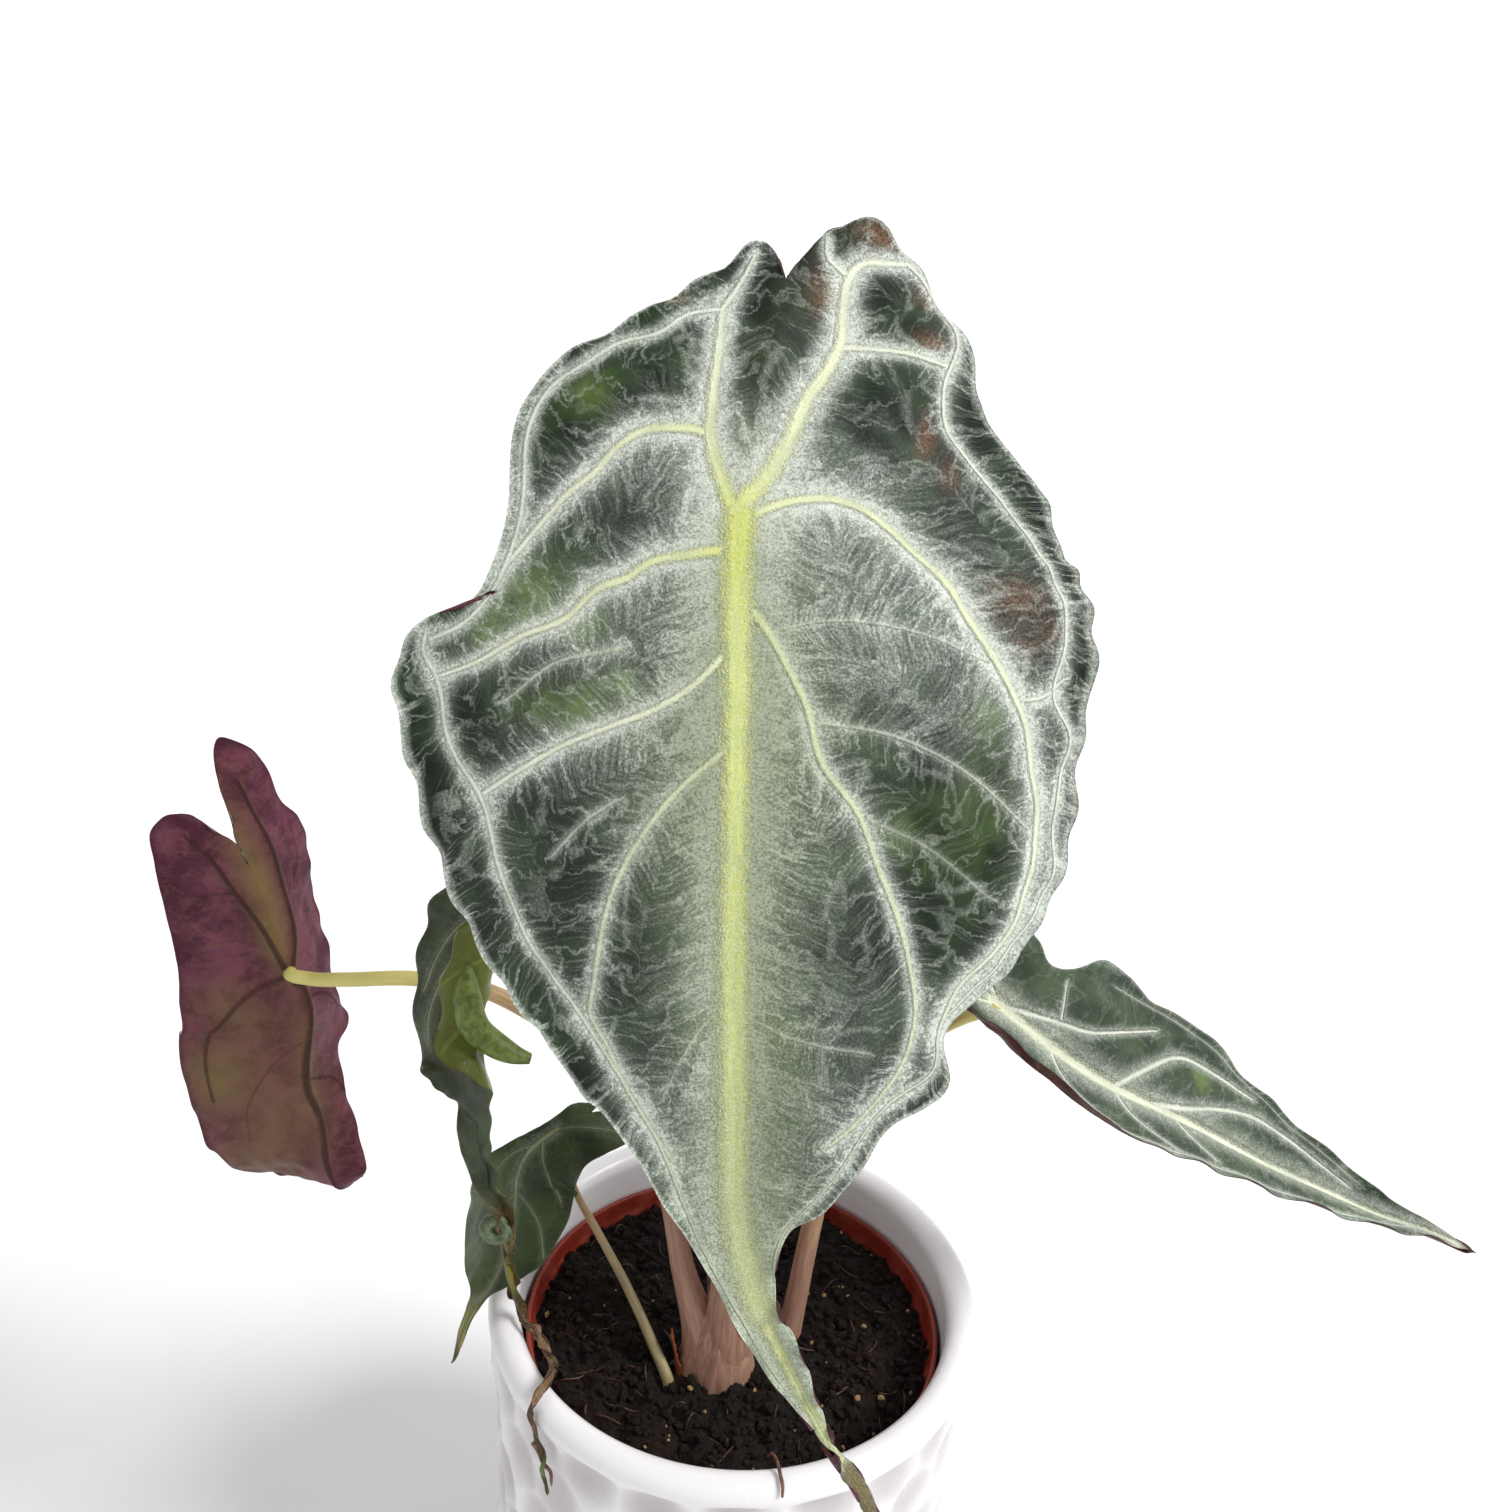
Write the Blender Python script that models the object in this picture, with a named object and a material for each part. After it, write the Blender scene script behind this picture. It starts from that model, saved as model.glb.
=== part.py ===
"""Potted alocasia: a cover pot, a nursery pot of soil, and five leaves on their stalks.

Frame: metres, +Z up, origin at the middle of the cover pot's flat base, front of the plant
towards -Y. Sizes below are in millimetres and are turned into metres when a mesh is made.

Each blade is one formula. A midrib curve carries a frame (along, across, upward). A flat
outline, measured in millimetres across and along from the stalk's joint, is laid over the
frame with a fold and a roll on each side of the midrib, and given a thickness.
"""
import math

import bmesh
import bpy
import numpy as np

MM = 0.001

# Cover pot
POT_DIAMETER = 143.0
POT_HEIGHT = 130.0
POT_BASE_DIAMETER = 137.0
POT_WALL = 9.0
POT_FLOOR = 7.0
POT_RIM_ROUND = 3.0
POT_FOOT_ROUND = 4.0

# Nursery pot and soil
NURSERY_WALL = 1.2
NURSERY_LIP_WIDTH = 2.2
NURSERY_LIP_HEIGHT = 7.0
NURSERY_DROP = 13.0
NURSERY_LIP_ROUND = 0.6
NURSERY_CLEARANCE = 0.95
NURSERY_FOOT_CLEARANCE = 9.6
SOIL_DROP = 18.0
SOIL_CROWN = 2.5

# Stalks and blades
BLADE_THICKNESS = 1.0
STEM_BASE_WIDTH = 21.0
STEM_BASE_DEPTH = 16.0
STEM_BASE_HEIGHT = 17.0
STEM_BURIED = 14.0
STEM_BASE_PLACE = (-4.0, -17.0)
DRY_SHEATH_ANGLES = (160.0, 212.0)
DRY_SHEATH_THICKNESS = 0.7
DRY_SHEATH_LEAN = 1.0
DRY_SHEATH_BELOW_TOP = 3.0
DRY_SHEATH_NARROWING = 0.75
MAIN_STALK_DIAMETER = 10.0
LEFT_STALK_DIAMETER = 7.0
RIGHT_STALK_DIAMETER = 6.6
CURLED_STALK_DIAMETER = 5.0
LOW_STALK_DIAMETER = 3.4
STALK_TIP_SHARE = 0.62
STALK_LOWER_SHARE = 0.86
STALK_UPPER_SHARE = 0.74
STALK_SQUARE_SHARE = 0.4
STALK_RISE = 4.0

# Fits
GAP = 0.3
POCKET_GAP = 0.4
SHEATH_GAP = 0.5
DROOP_ALLOWANCE = 3.0

# Mesh fineness
TURN_STEPS = 40
STALK_SIDES = 10
STALK_STEPS = 16

RIM_RADIUS = POT_DIAMETER / 2
RIM_INNER = RIM_RADIUS - POT_WALL
SOIL_TOP = POT_HEIGHT - SOIL_DROP
NURSERY_TOP = POT_HEIGHT - NURSERY_DROP
NURSERY_LIP_LOW = NURSERY_TOP - NURSERY_LIP_HEIGHT
NURSERY_BASE = POT_FLOOR + GAP
POT_FOOT_INNER = POT_BASE_DIAMETER / 2 - POT_WALL
NURSERY_FOOT_RADIUS = POT_FOOT_INNER - NURSERY_FOOT_CLEARANCE
STEM_BASE_TOP = SOIL_TOP + STEM_BASE_HEIGHT


def clear_scene():
    """Remove the scene's objects so that only the plant is left."""
    for item in list(bpy.data.objects):
        bpy.data.objects.remove(item, do_unlink=True)


def make_material(name, colour, roughness, metallic=0.0):
    """A Principled material with one colour, a roughness and a metallic value."""
    material = bpy.data.materials.new(name)
    material.use_nodes = True
    shader = material.node_tree.nodes["Principled BSDF"]
    shader.inputs["Base Color"].default_value = (*colour, 1.0)
    shader.inputs["Roughness"].default_value = roughness
    shader.inputs["Metallic"].default_value = metallic
    return material


def make_object(name, points, faces, material, smooth=True):
    """One closed object from points in millimetres and its faces."""
    mesh = bpy.data.meshes.new(name)
    mesh.from_pydata((np.asarray(points) * MM).tolist(), [], faces)
    work = bmesh.new()
    work.from_mesh(mesh)
    bmesh.ops.remove_doubles(work, verts=work.verts, dist=0.000002)
    bmesh.ops.dissolve_degenerate(work, edges=work.edges, dist=0.000002)
    bmesh.ops.recalc_face_normals(work, faces=work.faces)
    work.to_mesh(mesh)
    work.free()
    if smooth:
        mesh.shade_smooth()
        mesh.set_sharp_from_angle(angle=math.radians(40))
    mesh.materials.append(material)
    item = bpy.data.objects.new(name, mesh)
    bpy.context.scene.collection.objects.link(item)
    return item


# ---------------------------------------------------------------- curves and frames

def smooth_curve(stations, values, where):
    """Values read from a smooth curve through (station, value) pairs, straight past its ends."""
    stations = np.asarray(stations, float)
    values = np.asarray(values, float).reshape(len(stations), -1)
    where = np.asarray(where, float)
    flat = where.ravel()
    gaps = np.diff(stations)[:, None]
    slopes = np.diff(values, axis=0) / gaps
    tangents = np.empty_like(values)
    tangents[0] = slopes[0]
    tangents[-1] = slopes[-1]
    tangents[1:-1] = (slopes[:-1] * gaps[1:] + slopes[1:] * gaps[:-1]) / (gaps[:-1] + gaps[1:])
    index = np.clip(np.searchsorted(stations, flat) - 1, 0, len(stations) - 2)
    span = gaps[index]
    share = (flat[:, None] - stations[index][:, None]) / span
    inside = np.clip(share, 0.0, 1.0)
    square = inside ** 2
    cube = inside ** 3
    result = (
        (2 * cube - 3 * square + 1) * values[index]
        + (cube - 2 * square + inside) * span * tangents[index]
        + (3 * square - 2 * cube) * values[index + 1]
        + (cube - square) * span * tangents[index + 1]
    )
    result += np.where(share < 0, share * span * tangents[0], 0.0)
    result += np.where(share > 1, (share - 1) * span * tangents[-1], 0.0)
    return result.reshape(where.shape + (values.shape[1],))


def chord_stations(points):
    """Distances along a run of points, from its first point."""
    steps = np.linalg.norm(np.diff(np.asarray(points, float), axis=0), axis=1)
    return np.concatenate(([0.0], np.cumsum(steps)))


def unit(vectors):
    """Vectors scaled to length one."""
    return vectors / np.maximum(np.linalg.norm(vectors, axis=-1, keepdims=True), 1e-9)


class Blade:
    """A leaf blade's surface, as a function of distance across and along in millimetres.

    midrib: points of the midrib curve, from above the lobes to the tip.
    joint: which of those points is the stalk's joint, where the distance along is zero.
    facing: rows of (along, x, y, z), the direction that the upper face looks in.
    folds: rows of (along, left fold, left roll, right fold, right roll), in degrees and
        degrees per millimetre; a fold lifts a side towards the upper face.
    ripple: height at 40 mm from the midrib, wavelength along the midrib, and phase.
    """

    def __init__(self, midrib, joint, facing, folds, ripple):
        self.midrib = np.array(midrib, float)
        chord = chord_stations(self.midrib)
        fine = np.linspace(0.0, chord[-1], 2001)
        lengths = chord_stations(smooth_curve(chord, self.midrib, fine))
        self.stations = np.interp(chord, fine, lengths)
        self.stations -= self.stations[joint]
        self.facing = np.array(facing, float)
        self.folds = np.array(folds, float)
        self.ripple = ripple

    def frame(self, along):
        """The midrib's point and its across, upward and along directions."""
        step = 0.5
        ahead = smooth_curve(self.stations, self.midrib, along + step)
        behind = smooth_curve(self.stations, self.midrib, along - step)
        forward = unit(ahead - behind)
        hint = smooth_curve(self.facing[:, 0], self.facing[:, 1:], along)
        upward = unit(hint - np.sum(hint * forward, axis=-1, keepdims=True) * forward)
        point = smooth_curve(self.stations, self.midrib, along)
        return point, np.cross(upward, forward), upward, forward

    def droop_at_joint(self):
        """The steepest downward fold beside the joint, in degrees, with a little for the roll."""
        fold = smooth_curve(self.folds[:, 0], self.folds[:, 1:], np.array(0.0))
        return max(0.0, -fold[0], -fold[2]) + DROOP_ALLOWANCE

    def surface(self, across, along):
        """Point = midrib + across direction * run + upward direction * rise.

        Run and rise follow an arc that starts at the side's fold angle and turns by its roll
        for each millimetre. The ripple adds a wave that grows with the square of the distance.
        """
        across, along = np.broadcast_arrays(np.asarray(across, float), np.asarray(along, float))
        point, sideways, upward, _ = self.frame(along)
        fold = smooth_curve(self.folds[:, 0], self.folds[:, 1:], along)
        right = across >= 0
        start = np.radians(np.where(right, fold[..., 2], fold[..., 0]))
        roll = np.radians(np.where(right, fold[..., 3], fold[..., 1]))
        roll = np.where(np.abs(roll) < 1e-5, 1e-5, roll)
        reach = np.abs(across)
        run = (np.sin(start + roll * reach) - np.sin(start)) / roll
        rise = (np.cos(start) - np.cos(start + roll * reach)) / roll
        height, wavelength, phase = self.ripple
        side_phase = np.where(right, phase, phase + 1.7)
        wave = np.sin(2 * math.pi * along / wavelength + side_phase)
        rise = rise + height * (reach / 40.0) ** 2 * wave
        run = np.where(right, run, -run)
        return point + sideways * run[..., None] + upward * rise[..., None]

    def normal(self, across, along):
        """The surface's upward direction, from its slopes across and along."""
        step = 0.4
        slope_across = self.surface(across + step, along) - self.surface(across - step, along)
        slope_along = self.surface(across, along + step) - self.surface(across, along - step)
        return unit(np.cross(slope_along, slope_across))


def lofted_rows(left, right, rows, columns, spread):
    """Flat (across, along) grid between two outlines that start at the notch and end at the tip.

    Each row runs from the left outline through the midrib to the right outline. The midrib's
    share of the way is the outline's share raised to spread, so rows fan out in the lobes.
    """
    share = np.linspace(0.0, 1.0, rows + 1)
    edges = []
    for outline in (left, right):
        outline = np.array(outline, float)
        stations = chord_stations(outline)
        edges.append(smooth_curve(stations / stations[-1], outline, share))
    notch = left[0][1]
    tip = left[-1][1]
    spine_along = notch + (tip - notch) * share ** spread
    spine_across = left[0][0] * (1 - share) ** 4
    spine = np.stack((spine_across, spine_along), axis=-1)
    reach = np.sin(np.linspace(0.0, 1.0, columns + 1) * math.pi / 2)[:, None]
    left_side = spine[:, None] * (1 - reach) + edges[0][:, None] * reach
    right_side = spine[:, None] * (1 - reach) + edges[1][:, None] * reach
    return np.concatenate((left_side[:, :0:-1], right_side), axis=1)


def blade_solid(name, blade, left, right, material, rows, columns, spread=1.5):
    """A closed blade: the lofted grid raised and lowered by half the thickness, and its rim."""
    grid = lofted_rows(left, right, rows, columns, spread)
    middle = blade.surface(grid[..., 0], grid[..., 1])
    normal = blade.normal(grid[..., 0], grid[..., 1])
    half = BLADE_THICKNESS / 2
    layers = np.stack((middle + normal * half, middle - normal * half))
    count = grid.shape[1]
    size = (rows + 1) * count
    faces = []
    for row in range(rows):
        for column in range(count - 1):
            first = row * count + column
            quad = (first, first + count, first + count + 1, first + 1)
            faces.append(quad)
            faces.append(tuple(index + size for index in reversed(quad)))
        for column, flip in ((0, False), (count - 1, True)):
            low = row * count + column
            rim = (low, low + size, low + size + count, low + count)
            faces.append(tuple(reversed(rim)) if flip else rim)
    return make_object(name, layers.reshape(-1, 3), faces, material)


def tube_solid(name, points, radii, material, sides=STALK_SIDES, steps=STALK_STEPS):
    """A closed round stalk along a smooth curve, its radius read from a smooth curve too."""
    stations = chord_stations(points)
    where = np.linspace(0.0, stations[-1], steps + 1)
    centres = smooth_curve(stations, points, where)
    radius_at = np.linspace(0.0, stations[-1], len(radii))
    radius = smooth_curve(radius_at, radii, where)[:, 0]
    forward = unit(np.gradient(centres, axis=0))
    forward[0] = unit(np.array(points[1], float) - np.array(points[0], float))
    forward[-1] = unit(np.array(points[-1], float) - np.array(points[-2], float))
    hint = np.array((0.3, 1.0, 0.2))
    sideways = unit(np.cross(hint, forward))
    other = np.cross(forward, sideways)
    turn = np.linspace(0.0, 2 * math.pi, sides, endpoint=False)
    ring = (
        sideways[:, None] * np.cos(turn)[None, :, None]
        + other[:, None] * np.sin(turn)[None, :, None]
    )
    skin = centres[:, None] + ring * radius[:, None, None]
    faces = []
    for step in range(steps):
        for side in range(sides):
            after = (side + 1) % sides
            first = step * sides
            faces.append((first + side, first + after, first + sides + after, first + sides + side))
    faces.append(tuple(reversed(range(sides))))
    faces.append(tuple(range(steps * sides, (steps + 1) * sides)))
    return make_object(name, skin.reshape(-1, 3), faces, material)


def turned_solid(name, profile, material, steps=TURN_STEPS):
    """A closed solid turned about the vertical axis; the profile starts and ends on the axis."""
    turn = np.linspace(0.0, 2 * math.pi, steps, endpoint=False)
    profile = np.array(profile, float)
    ring = np.stack((np.cos(turn), np.sin(turn)), axis=-1)
    points = np.concatenate(
        (
            profile[:, None, :1] * ring[None],
            np.broadcast_to(profile[:, None, 1:], (len(profile), steps, 1)),
        ),
        axis=-1,
    )
    faces = []
    for level in range(len(profile) - 1):
        for step in range(steps):
            after = (step + 1) % steps
            first = level * steps
            faces.append((first + step, first + after, first + steps + after, first + steps + step))
    return make_object(name, points.reshape(-1, 3), faces, material)


def arc_profile(centre, radius, start, end, steps=4):
    """Points on an arc, angles in degrees from +X."""
    angles = np.radians(np.linspace(start, end, steps + 1))
    return [(centre[0] + radius * math.cos(a), centre[1] + radius * math.sin(a)) for a in angles]


# ---------------------------------------------------------------- places on the pot

def from_rim(x, y, rise):
    """A point given from the pot's axis and from the height of its rim."""
    return (x, y, POT_HEIGHT + rise)


def beside_rim(angle, outward, rise):
    """A point by its direction in degrees, its distance outside the rim's middle, its rise."""
    radius = RIM_RADIUS - POT_WALL / 2 + outward
    turn = math.radians(angle)
    return (radius * math.cos(turn), radius * math.sin(turn), POT_HEIGHT + rise)


# ---------------------------------------------------------------- holder

def make_cover_pot(material):
    """A round, slightly tapered ceramic pot with a rounded rim and foot and a flat base."""
    base = POT_BASE_DIAMETER / 2
    rim = POT_RIM_ROUND
    foot = POT_FOOT_ROUND
    profile = [(0.0, 0.0), (base - foot, 0.0)]
    profile += arc_profile((base - foot, foot), foot, -90, 0)[1:]
    profile += [(RIM_RADIUS, POT_HEIGHT - rim * 2)]
    profile += arc_profile((RIM_RADIUS - rim, POT_HEIGHT - rim), rim, 0, 90)
    profile += arc_profile((RIM_INNER + rim, POT_HEIGHT - rim), rim, 90, 180)
    profile += arc_profile((POT_FOOT_INNER - foot, POT_FLOOR + foot), foot, 0, -90)
    profile += [(0.0, POT_FLOOR)]
    return turned_solid("cover_pot", profile, material)


def pot_inner_radius(height):
    """The cover pot's inner radius at a height, between its roundings at rim and foot."""
    high = POT_HEIGHT - POT_RIM_ROUND
    low = POT_FLOOR + POT_FOOT_ROUND
    return RIM_INNER + (POT_FOOT_INNER - RIM_INNER) * (high - height) / (high - low)


def nursery_lip_radius():
    """The lip's outer radius, a clearance inside the cover pot where the lip sits deepest."""
    return pot_inner_radius(NURSERY_LIP_LOW) - NURSERY_CLEARANCE


def nursery_radius(height):
    """The nursery pot's outer radius at a height; it narrows towards its base."""
    share = (NURSERY_TOP - height) / (NURSERY_TOP - NURSERY_BASE)
    top = nursery_lip_radius() - NURSERY_LIP_WIDTH
    return top + (NURSERY_FOOT_RADIUS - top) * share


def make_nursery_pot(material):
    """A thin plastic pot with a thicker lip, open at the top, standing on the pot's floor."""
    lip = nursery_lip_radius()
    lip_low = NURSERY_LIP_LOW
    wall = NURSERY_WALL
    base = NURSERY_BASE
    bevel = NURSERY_LIP_ROUND
    profile = [
        (0.0, base),
        (nursery_radius(base), base),
        (nursery_radius(lip_low), lip_low),
        (lip, lip_low),
        (lip, NURSERY_TOP - bevel),
        (lip - bevel, NURSERY_TOP),
        (lip - wall, NURSERY_TOP),
        (lip - wall, lip_low + wall),
        (nursery_radius(lip_low) - wall, lip_low),
        (nursery_radius(base) - wall, base + wall),
        (0.0, base + wall),
    ]
    return turned_solid("nursery_pot", profile, material)


def soil_radius(height):
    """The soil's radius inside the nursery pot's tapered wall at a height."""
    return nursery_radius(height) - NURSERY_WALL - GAP


def make_soil(material, pockets):
    """Soil that fills the nursery pot, a little domed on top, cut by a pocket for each stem."""
    bottom = NURSERY_BASE + NURSERY_WALL + GAP
    edge = soil_radius(SOIL_TOP)
    profile = [(0.0, bottom), (soil_radius(bottom), bottom), (edge, SOIL_TOP)]
    for share in (0.75, 0.5, 0.25, 0.0):
        profile.append((edge * share, SOIL_TOP + SOIL_CROWN * (1 - share ** 2)))
    soil = turned_solid("soil", profile, material)
    for pocket in pockets:
        cut = soil.modifiers.new(pocket.name, "BOOLEAN")
        cut.operation = "DIFFERENCE"
        cut.solver = "EXACT"
        cut.object = pocket
    return soil


def pocket_cutter(name, points, radii, material):
    """A cutter that leaves room round a buried stem."""
    cutter = tube_solid(name, points, radii, material, sides=12, steps=4)
    cutter.hide_render = True
    cutter.display_type = "WIRE"
    return cutter


# ---------------------------------------------------------------- stalks

def make_stem_base(material):
    """The thick sheathing base that the stalks rise from: an oval trunk, buried at its foot."""
    sides = 16
    turn = np.linspace(0.0, 2 * math.pi, sides, endpoint=False)
    levels = np.array((-STEM_BURIED, 0.0, STEM_BASE_HEIGHT * 0.5, STEM_BASE_HEIGHT))
    swell = np.array((0.8, 1.0, 0.97, 0.94))
    width = STEM_BASE_WIDTH / 2 * swell[:, None]
    depth = STEM_BASE_DEPTH / 2 * swell[:, None]
    centre_x, centre_y = STEM_BASE_PLACE
    points = np.stack(
        (
            centre_x + width * np.cos(turn),
            centre_y + depth * np.sin(turn),
            np.broadcast_to(SOIL_TOP + levels[:, None], (len(levels), sides)),
        ),
        axis=-1,
    )
    faces = []
    for level in range(len(levels) - 1):
        for side in range(sides):
            after = (side + 1) % sides
            first = level * sides
            faces.append((first + side, first + after, first + sides + after, first + sides + side))
    faces.append(tuple(reversed(range(sides))))
    faces.append(tuple(range((len(levels) - 1) * sides, len(levels) * sides)))
    return make_object("stem_base", points.reshape(-1, 3), faces, material)


def stem_base_cutter(material):
    """The stem base's pocket in the soil."""
    centre_x, centre_y = STEM_BASE_PLACE
    low = SOIL_TOP - STEM_BURIED - POCKET_GAP
    high = SOIL_TOP + SOIL_CROWN * 4
    wide = STEM_BASE_WIDTH / 2 + POCKET_GAP
    points = ((centre_x, centre_y, low), (centre_x, centre_y, high))
    cutter = pocket_cutter("stem_base_pocket", points, (wide, wide), material)
    mesh = cutter.data
    for vertex in mesh.vertices:
        share = (STEM_BASE_DEPTH / 2 + POCKET_GAP) / wide
        vertex.co.y = centre_y * MM + (vertex.co.y - centre_y * MM) * share
    return cutter


def make_dry_sheath(material):
    """A thin papery sheath curved round the left front of the stem base."""
    centre_x, centre_y = STEM_BASE_PLACE
    angles = np.radians(np.linspace(*DRY_SHEATH_ANGLES, 9))
    highest = STEM_BASE_TOP - DRY_SHEATH_BELOW_TOP
    levels = np.linspace(SOIL_TOP + SOIL_CROWN + GAP, highest, 5)
    rise = (levels - levels[0]) / (levels[-1] - levels[0])
    middle = angles.mean()
    narrowing = (1 - DRY_SHEATH_NARROWING * rise ** 2)[:, None]
    around = middle + (angles[None] - middle) * narrowing
    layers = []
    for offset in (SHEATH_GAP + DRY_SHEATH_THICKNESS, SHEATH_GAP):
        lean = offset + DRY_SHEATH_LEAN * rise[:, None]
        layers.append(
            np.stack(
                (
                    centre_x + (STEM_BASE_WIDTH / 2 + lean) * np.cos(around),
                    centre_y + (STEM_BASE_DEPTH / 2 + lean) * np.sin(around),
                    np.broadcast_to(levels[:, None], around.shape),
                ),
                axis=-1,
            )
        )
    rows, count = around.shape
    size = rows * count
    faces = []
    for row in range(rows - 1):
        for column in range(count - 1):
            first = row * count + column
            quad = (first, first + 1, first + count + 1, first + count)
            faces.append(quad)
            faces.append(tuple(index + size for index in reversed(quad)))
        for column in (0, count - 1):
            low = row * count + column
            faces.append((low, low + size, low + size + count, low + count))
    for row in (0, rows - 1):
        for column in range(count - 1):
            low = row * count + column
            faces.append((low, low + 1, low + 1 + size, low + size))
    return make_object("dry_sheath", np.stack(layers).reshape(-1, 3), faces, material)


def stalk_radii(diameter):
    """A stalk's radius from its foot to its joint; it is thinnest at the joint."""
    radius = diameter / 2
    shares = (1.0, STALK_LOWER_SHARE, STALK_UPPER_SHARE, STALK_TIP_SHARE)
    return [radius * share for share in shares]


def make_stalk(name, path, blade, diameter, material):
    """A stalk through its path, ending flat against the underside of its blade's joint.

    The path is (points, approach, bend): approach leans the last stretch away from the
    blade's normal, and bend is that stretch's length.
    """
    points, approach, bend = path
    radii = stalk_radii(diameter)
    joint, _, upward, _ = blade.frame(np.array(0.0))
    droop = math.tan(math.radians(blade.droop_at_joint()))
    end = joint - upward * (BLADE_THICKNESS / 2 + GAP + radii[-1] * droop)
    square = end - upward * diameter * STALK_SQUARE_SHARE
    back = square - unit(upward + np.array(approach, float)) * bend
    return tube_solid(name, [*points, back, square, end], radii, material)


def stalk_cutter(name, path, diameter, material):
    """The pocket in the soil round the buried foot of a stalk."""
    points = [np.array(point, float) for point in path[0][:4]]
    forward = unit(points[1] - points[0])
    points[0] = points[0] - forward * POCKET_GAP
    radius = diameter / 2 + POCKET_GAP
    return pocket_cutter(name, points, (radius, radius), material)


def on_stem_base(x, y):
    """The first two points of a stalk that stands on the stem base, offset from its middle."""
    centre_x, centre_y = STEM_BASE_PLACE
    low = STEM_BASE_TOP + GAP
    high = low + STALK_RISE
    return [(centre_x + x, centre_y + y, low), (centre_x + x, centre_y + y, high)]


def in_soil(x, y, depth, lean_x, lean_y):
    """The first two points of a stalk that stands in the soil: its foot, and at the surface."""
    high = SOIL_TOP + SOIL_CROWN
    return [(x - lean_x * depth, y - lean_y * depth, SOIL_TOP - depth), (x, y, high)]


def main_stalk_path():
    """Up behind the main blade, then over to its back."""
    points = on_stem_base(3.0, 0.5) + [
        from_rim(-2, -13, 30),
        from_rim(-6, -7, 90),
        from_rim(-9, -7, 150),
        from_rim(-11, -15, 205),
        from_rim(-12, -32, 236),
    ]
    return points, (0, 0.0, -0.5), 12.0


def left_stalk_path():
    """Up to the left, then level to the left blade."""
    points = on_stem_base(-6.0, 1.5) + [
        from_rim(-15.5, -9, 14),
        from_rim(-21, -1, 34),
        from_rim(-31, 8, 54),
        from_rim(-46, 14.8, 67),
        from_rim(-62, 18.4, 76),
        from_rim(-79, 18.5, 84),
        from_rim(-96, 15.5, 87.5),
        from_rim(-114, 11, 88.5),
    ]
    return points, (-1.2, 0, 0), 7.0


def curled_stalk_path():
    """Up behind the main blade to the rolled blade at its left edge."""
    points = in_soil(-5.0, -4.5, STEM_BURIED * 0.8, 0.0, 0.0) + [
        from_rim(-6, -3.5, 6),
        from_rim(-13, 1, 38),
        from_rim(-25, 8, 72),
        from_rim(-40, 16, 97),
        from_rim(-54, 16, 113),
    ]
    return points, (-0.2, 0, 0), 10.0


def right_stalk_path():
    """Out of the soil behind the stem base, up and over to the right blade."""
    points = in_soil(17.0, -3.0, STEM_BURIED * 0.8, 0.05, 0.05) + [
        from_rim(18.2, -1, -4),
        from_rim(21.1, 3.2, 23),
        from_rim(25, 6, 53),
        from_rim(35, 9, 74),
        from_rim(50, 11, 86),
    ]
    return points, (0.9, 0, 0.2), 8.0


def low_stalk_path():
    """Thin, out of the soil at the front and across to the left, to the low blade."""
    points = in_soil(-17.0, -24.0, STEM_BURIED * 0.7, -0.1, 0.05) + [
        from_rim(-23, -16, -8),
        from_rim(-31, -7, 2),
        from_rim(-41, 2.5, 13),
        from_rim(-49, 9, 23),
    ]
    return points, (-0.5, 0, 0.4), 6.0


# ---------------------------------------------------------------- blades

def main_blade():
    """The big shield-shaped blade that hangs in front of the pot, its face to the front."""
    midrib = [
        from_rim(-4, -20, 300),
        from_rim(-7, -36, 283),
        from_rim(-11.5, -62, 247.5),
        from_rim(-9.5, -77, 217),
        from_rim(-6.5, -89, 181),
        from_rim(-2.5, -99, 142),
        from_rim(0, -105, 115),
        from_rim(5, -108, 97),
        from_rim(13, -110, 79),
        from_rim(21, -110.5, 63.5),
        from_rim(29, -110.5, 50),
        from_rim(35, -111, 38),
    ]
    facing = [
        (-60, 0, -1, 0.55),
        (0, 0, -1, 0.48),
        (100, 0, -1, 0.3),
        (150, 0.05, -1, 0.1),
        (185, 0.3, -1, 0),
        (230, 0.5, -1, 0),
    ]
    folds = [
        (-60, -4, -0.25, -4, -0.25),
        (60, -4, -0.25, -4, -0.25),
        (150, 4, -0.3, 4, -0.3),
        (190, 10, 0.2, 10, 0.2),
        (230, 10, 0, 10, 0),
    ]
    return Blade(midrib, 2, facing, folds, (2.0, 34.0, 0.4))


MAIN_LEFT = [
    (0, -50), (-5, -58.5), (-16, -48), (-31, -35), (-44, -23), (-47, -13), (-46, 0), (-54, 15),
    (-64, 17.5), (-70, 26), (-68, 41), (-62, 62), (-55, 78), (-37, 105), (-18, 131), (-10, 146),
    (-6, 165), (-4, 177), (-1.6, 194), (-1.2, 205), (0, 226),
]
MAIN_RIGHT = [
    (0, -50), (5, -62), (12, -69), (22, -65), (31, -55), (40, -46), (42, -37), (50, -28),
    (58, -22), (63, -11), (70, 6), (73, 25), (70, 42), (65, 73), (55, 90), (40, 104),
    (41, 112), (29, 119), (18, 135), (7, 144), (3, 155), (2.5, 162), (4, 170), (3, 179),
    (1.6, 192), (1.8, 205), (0, 226),
]


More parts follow.
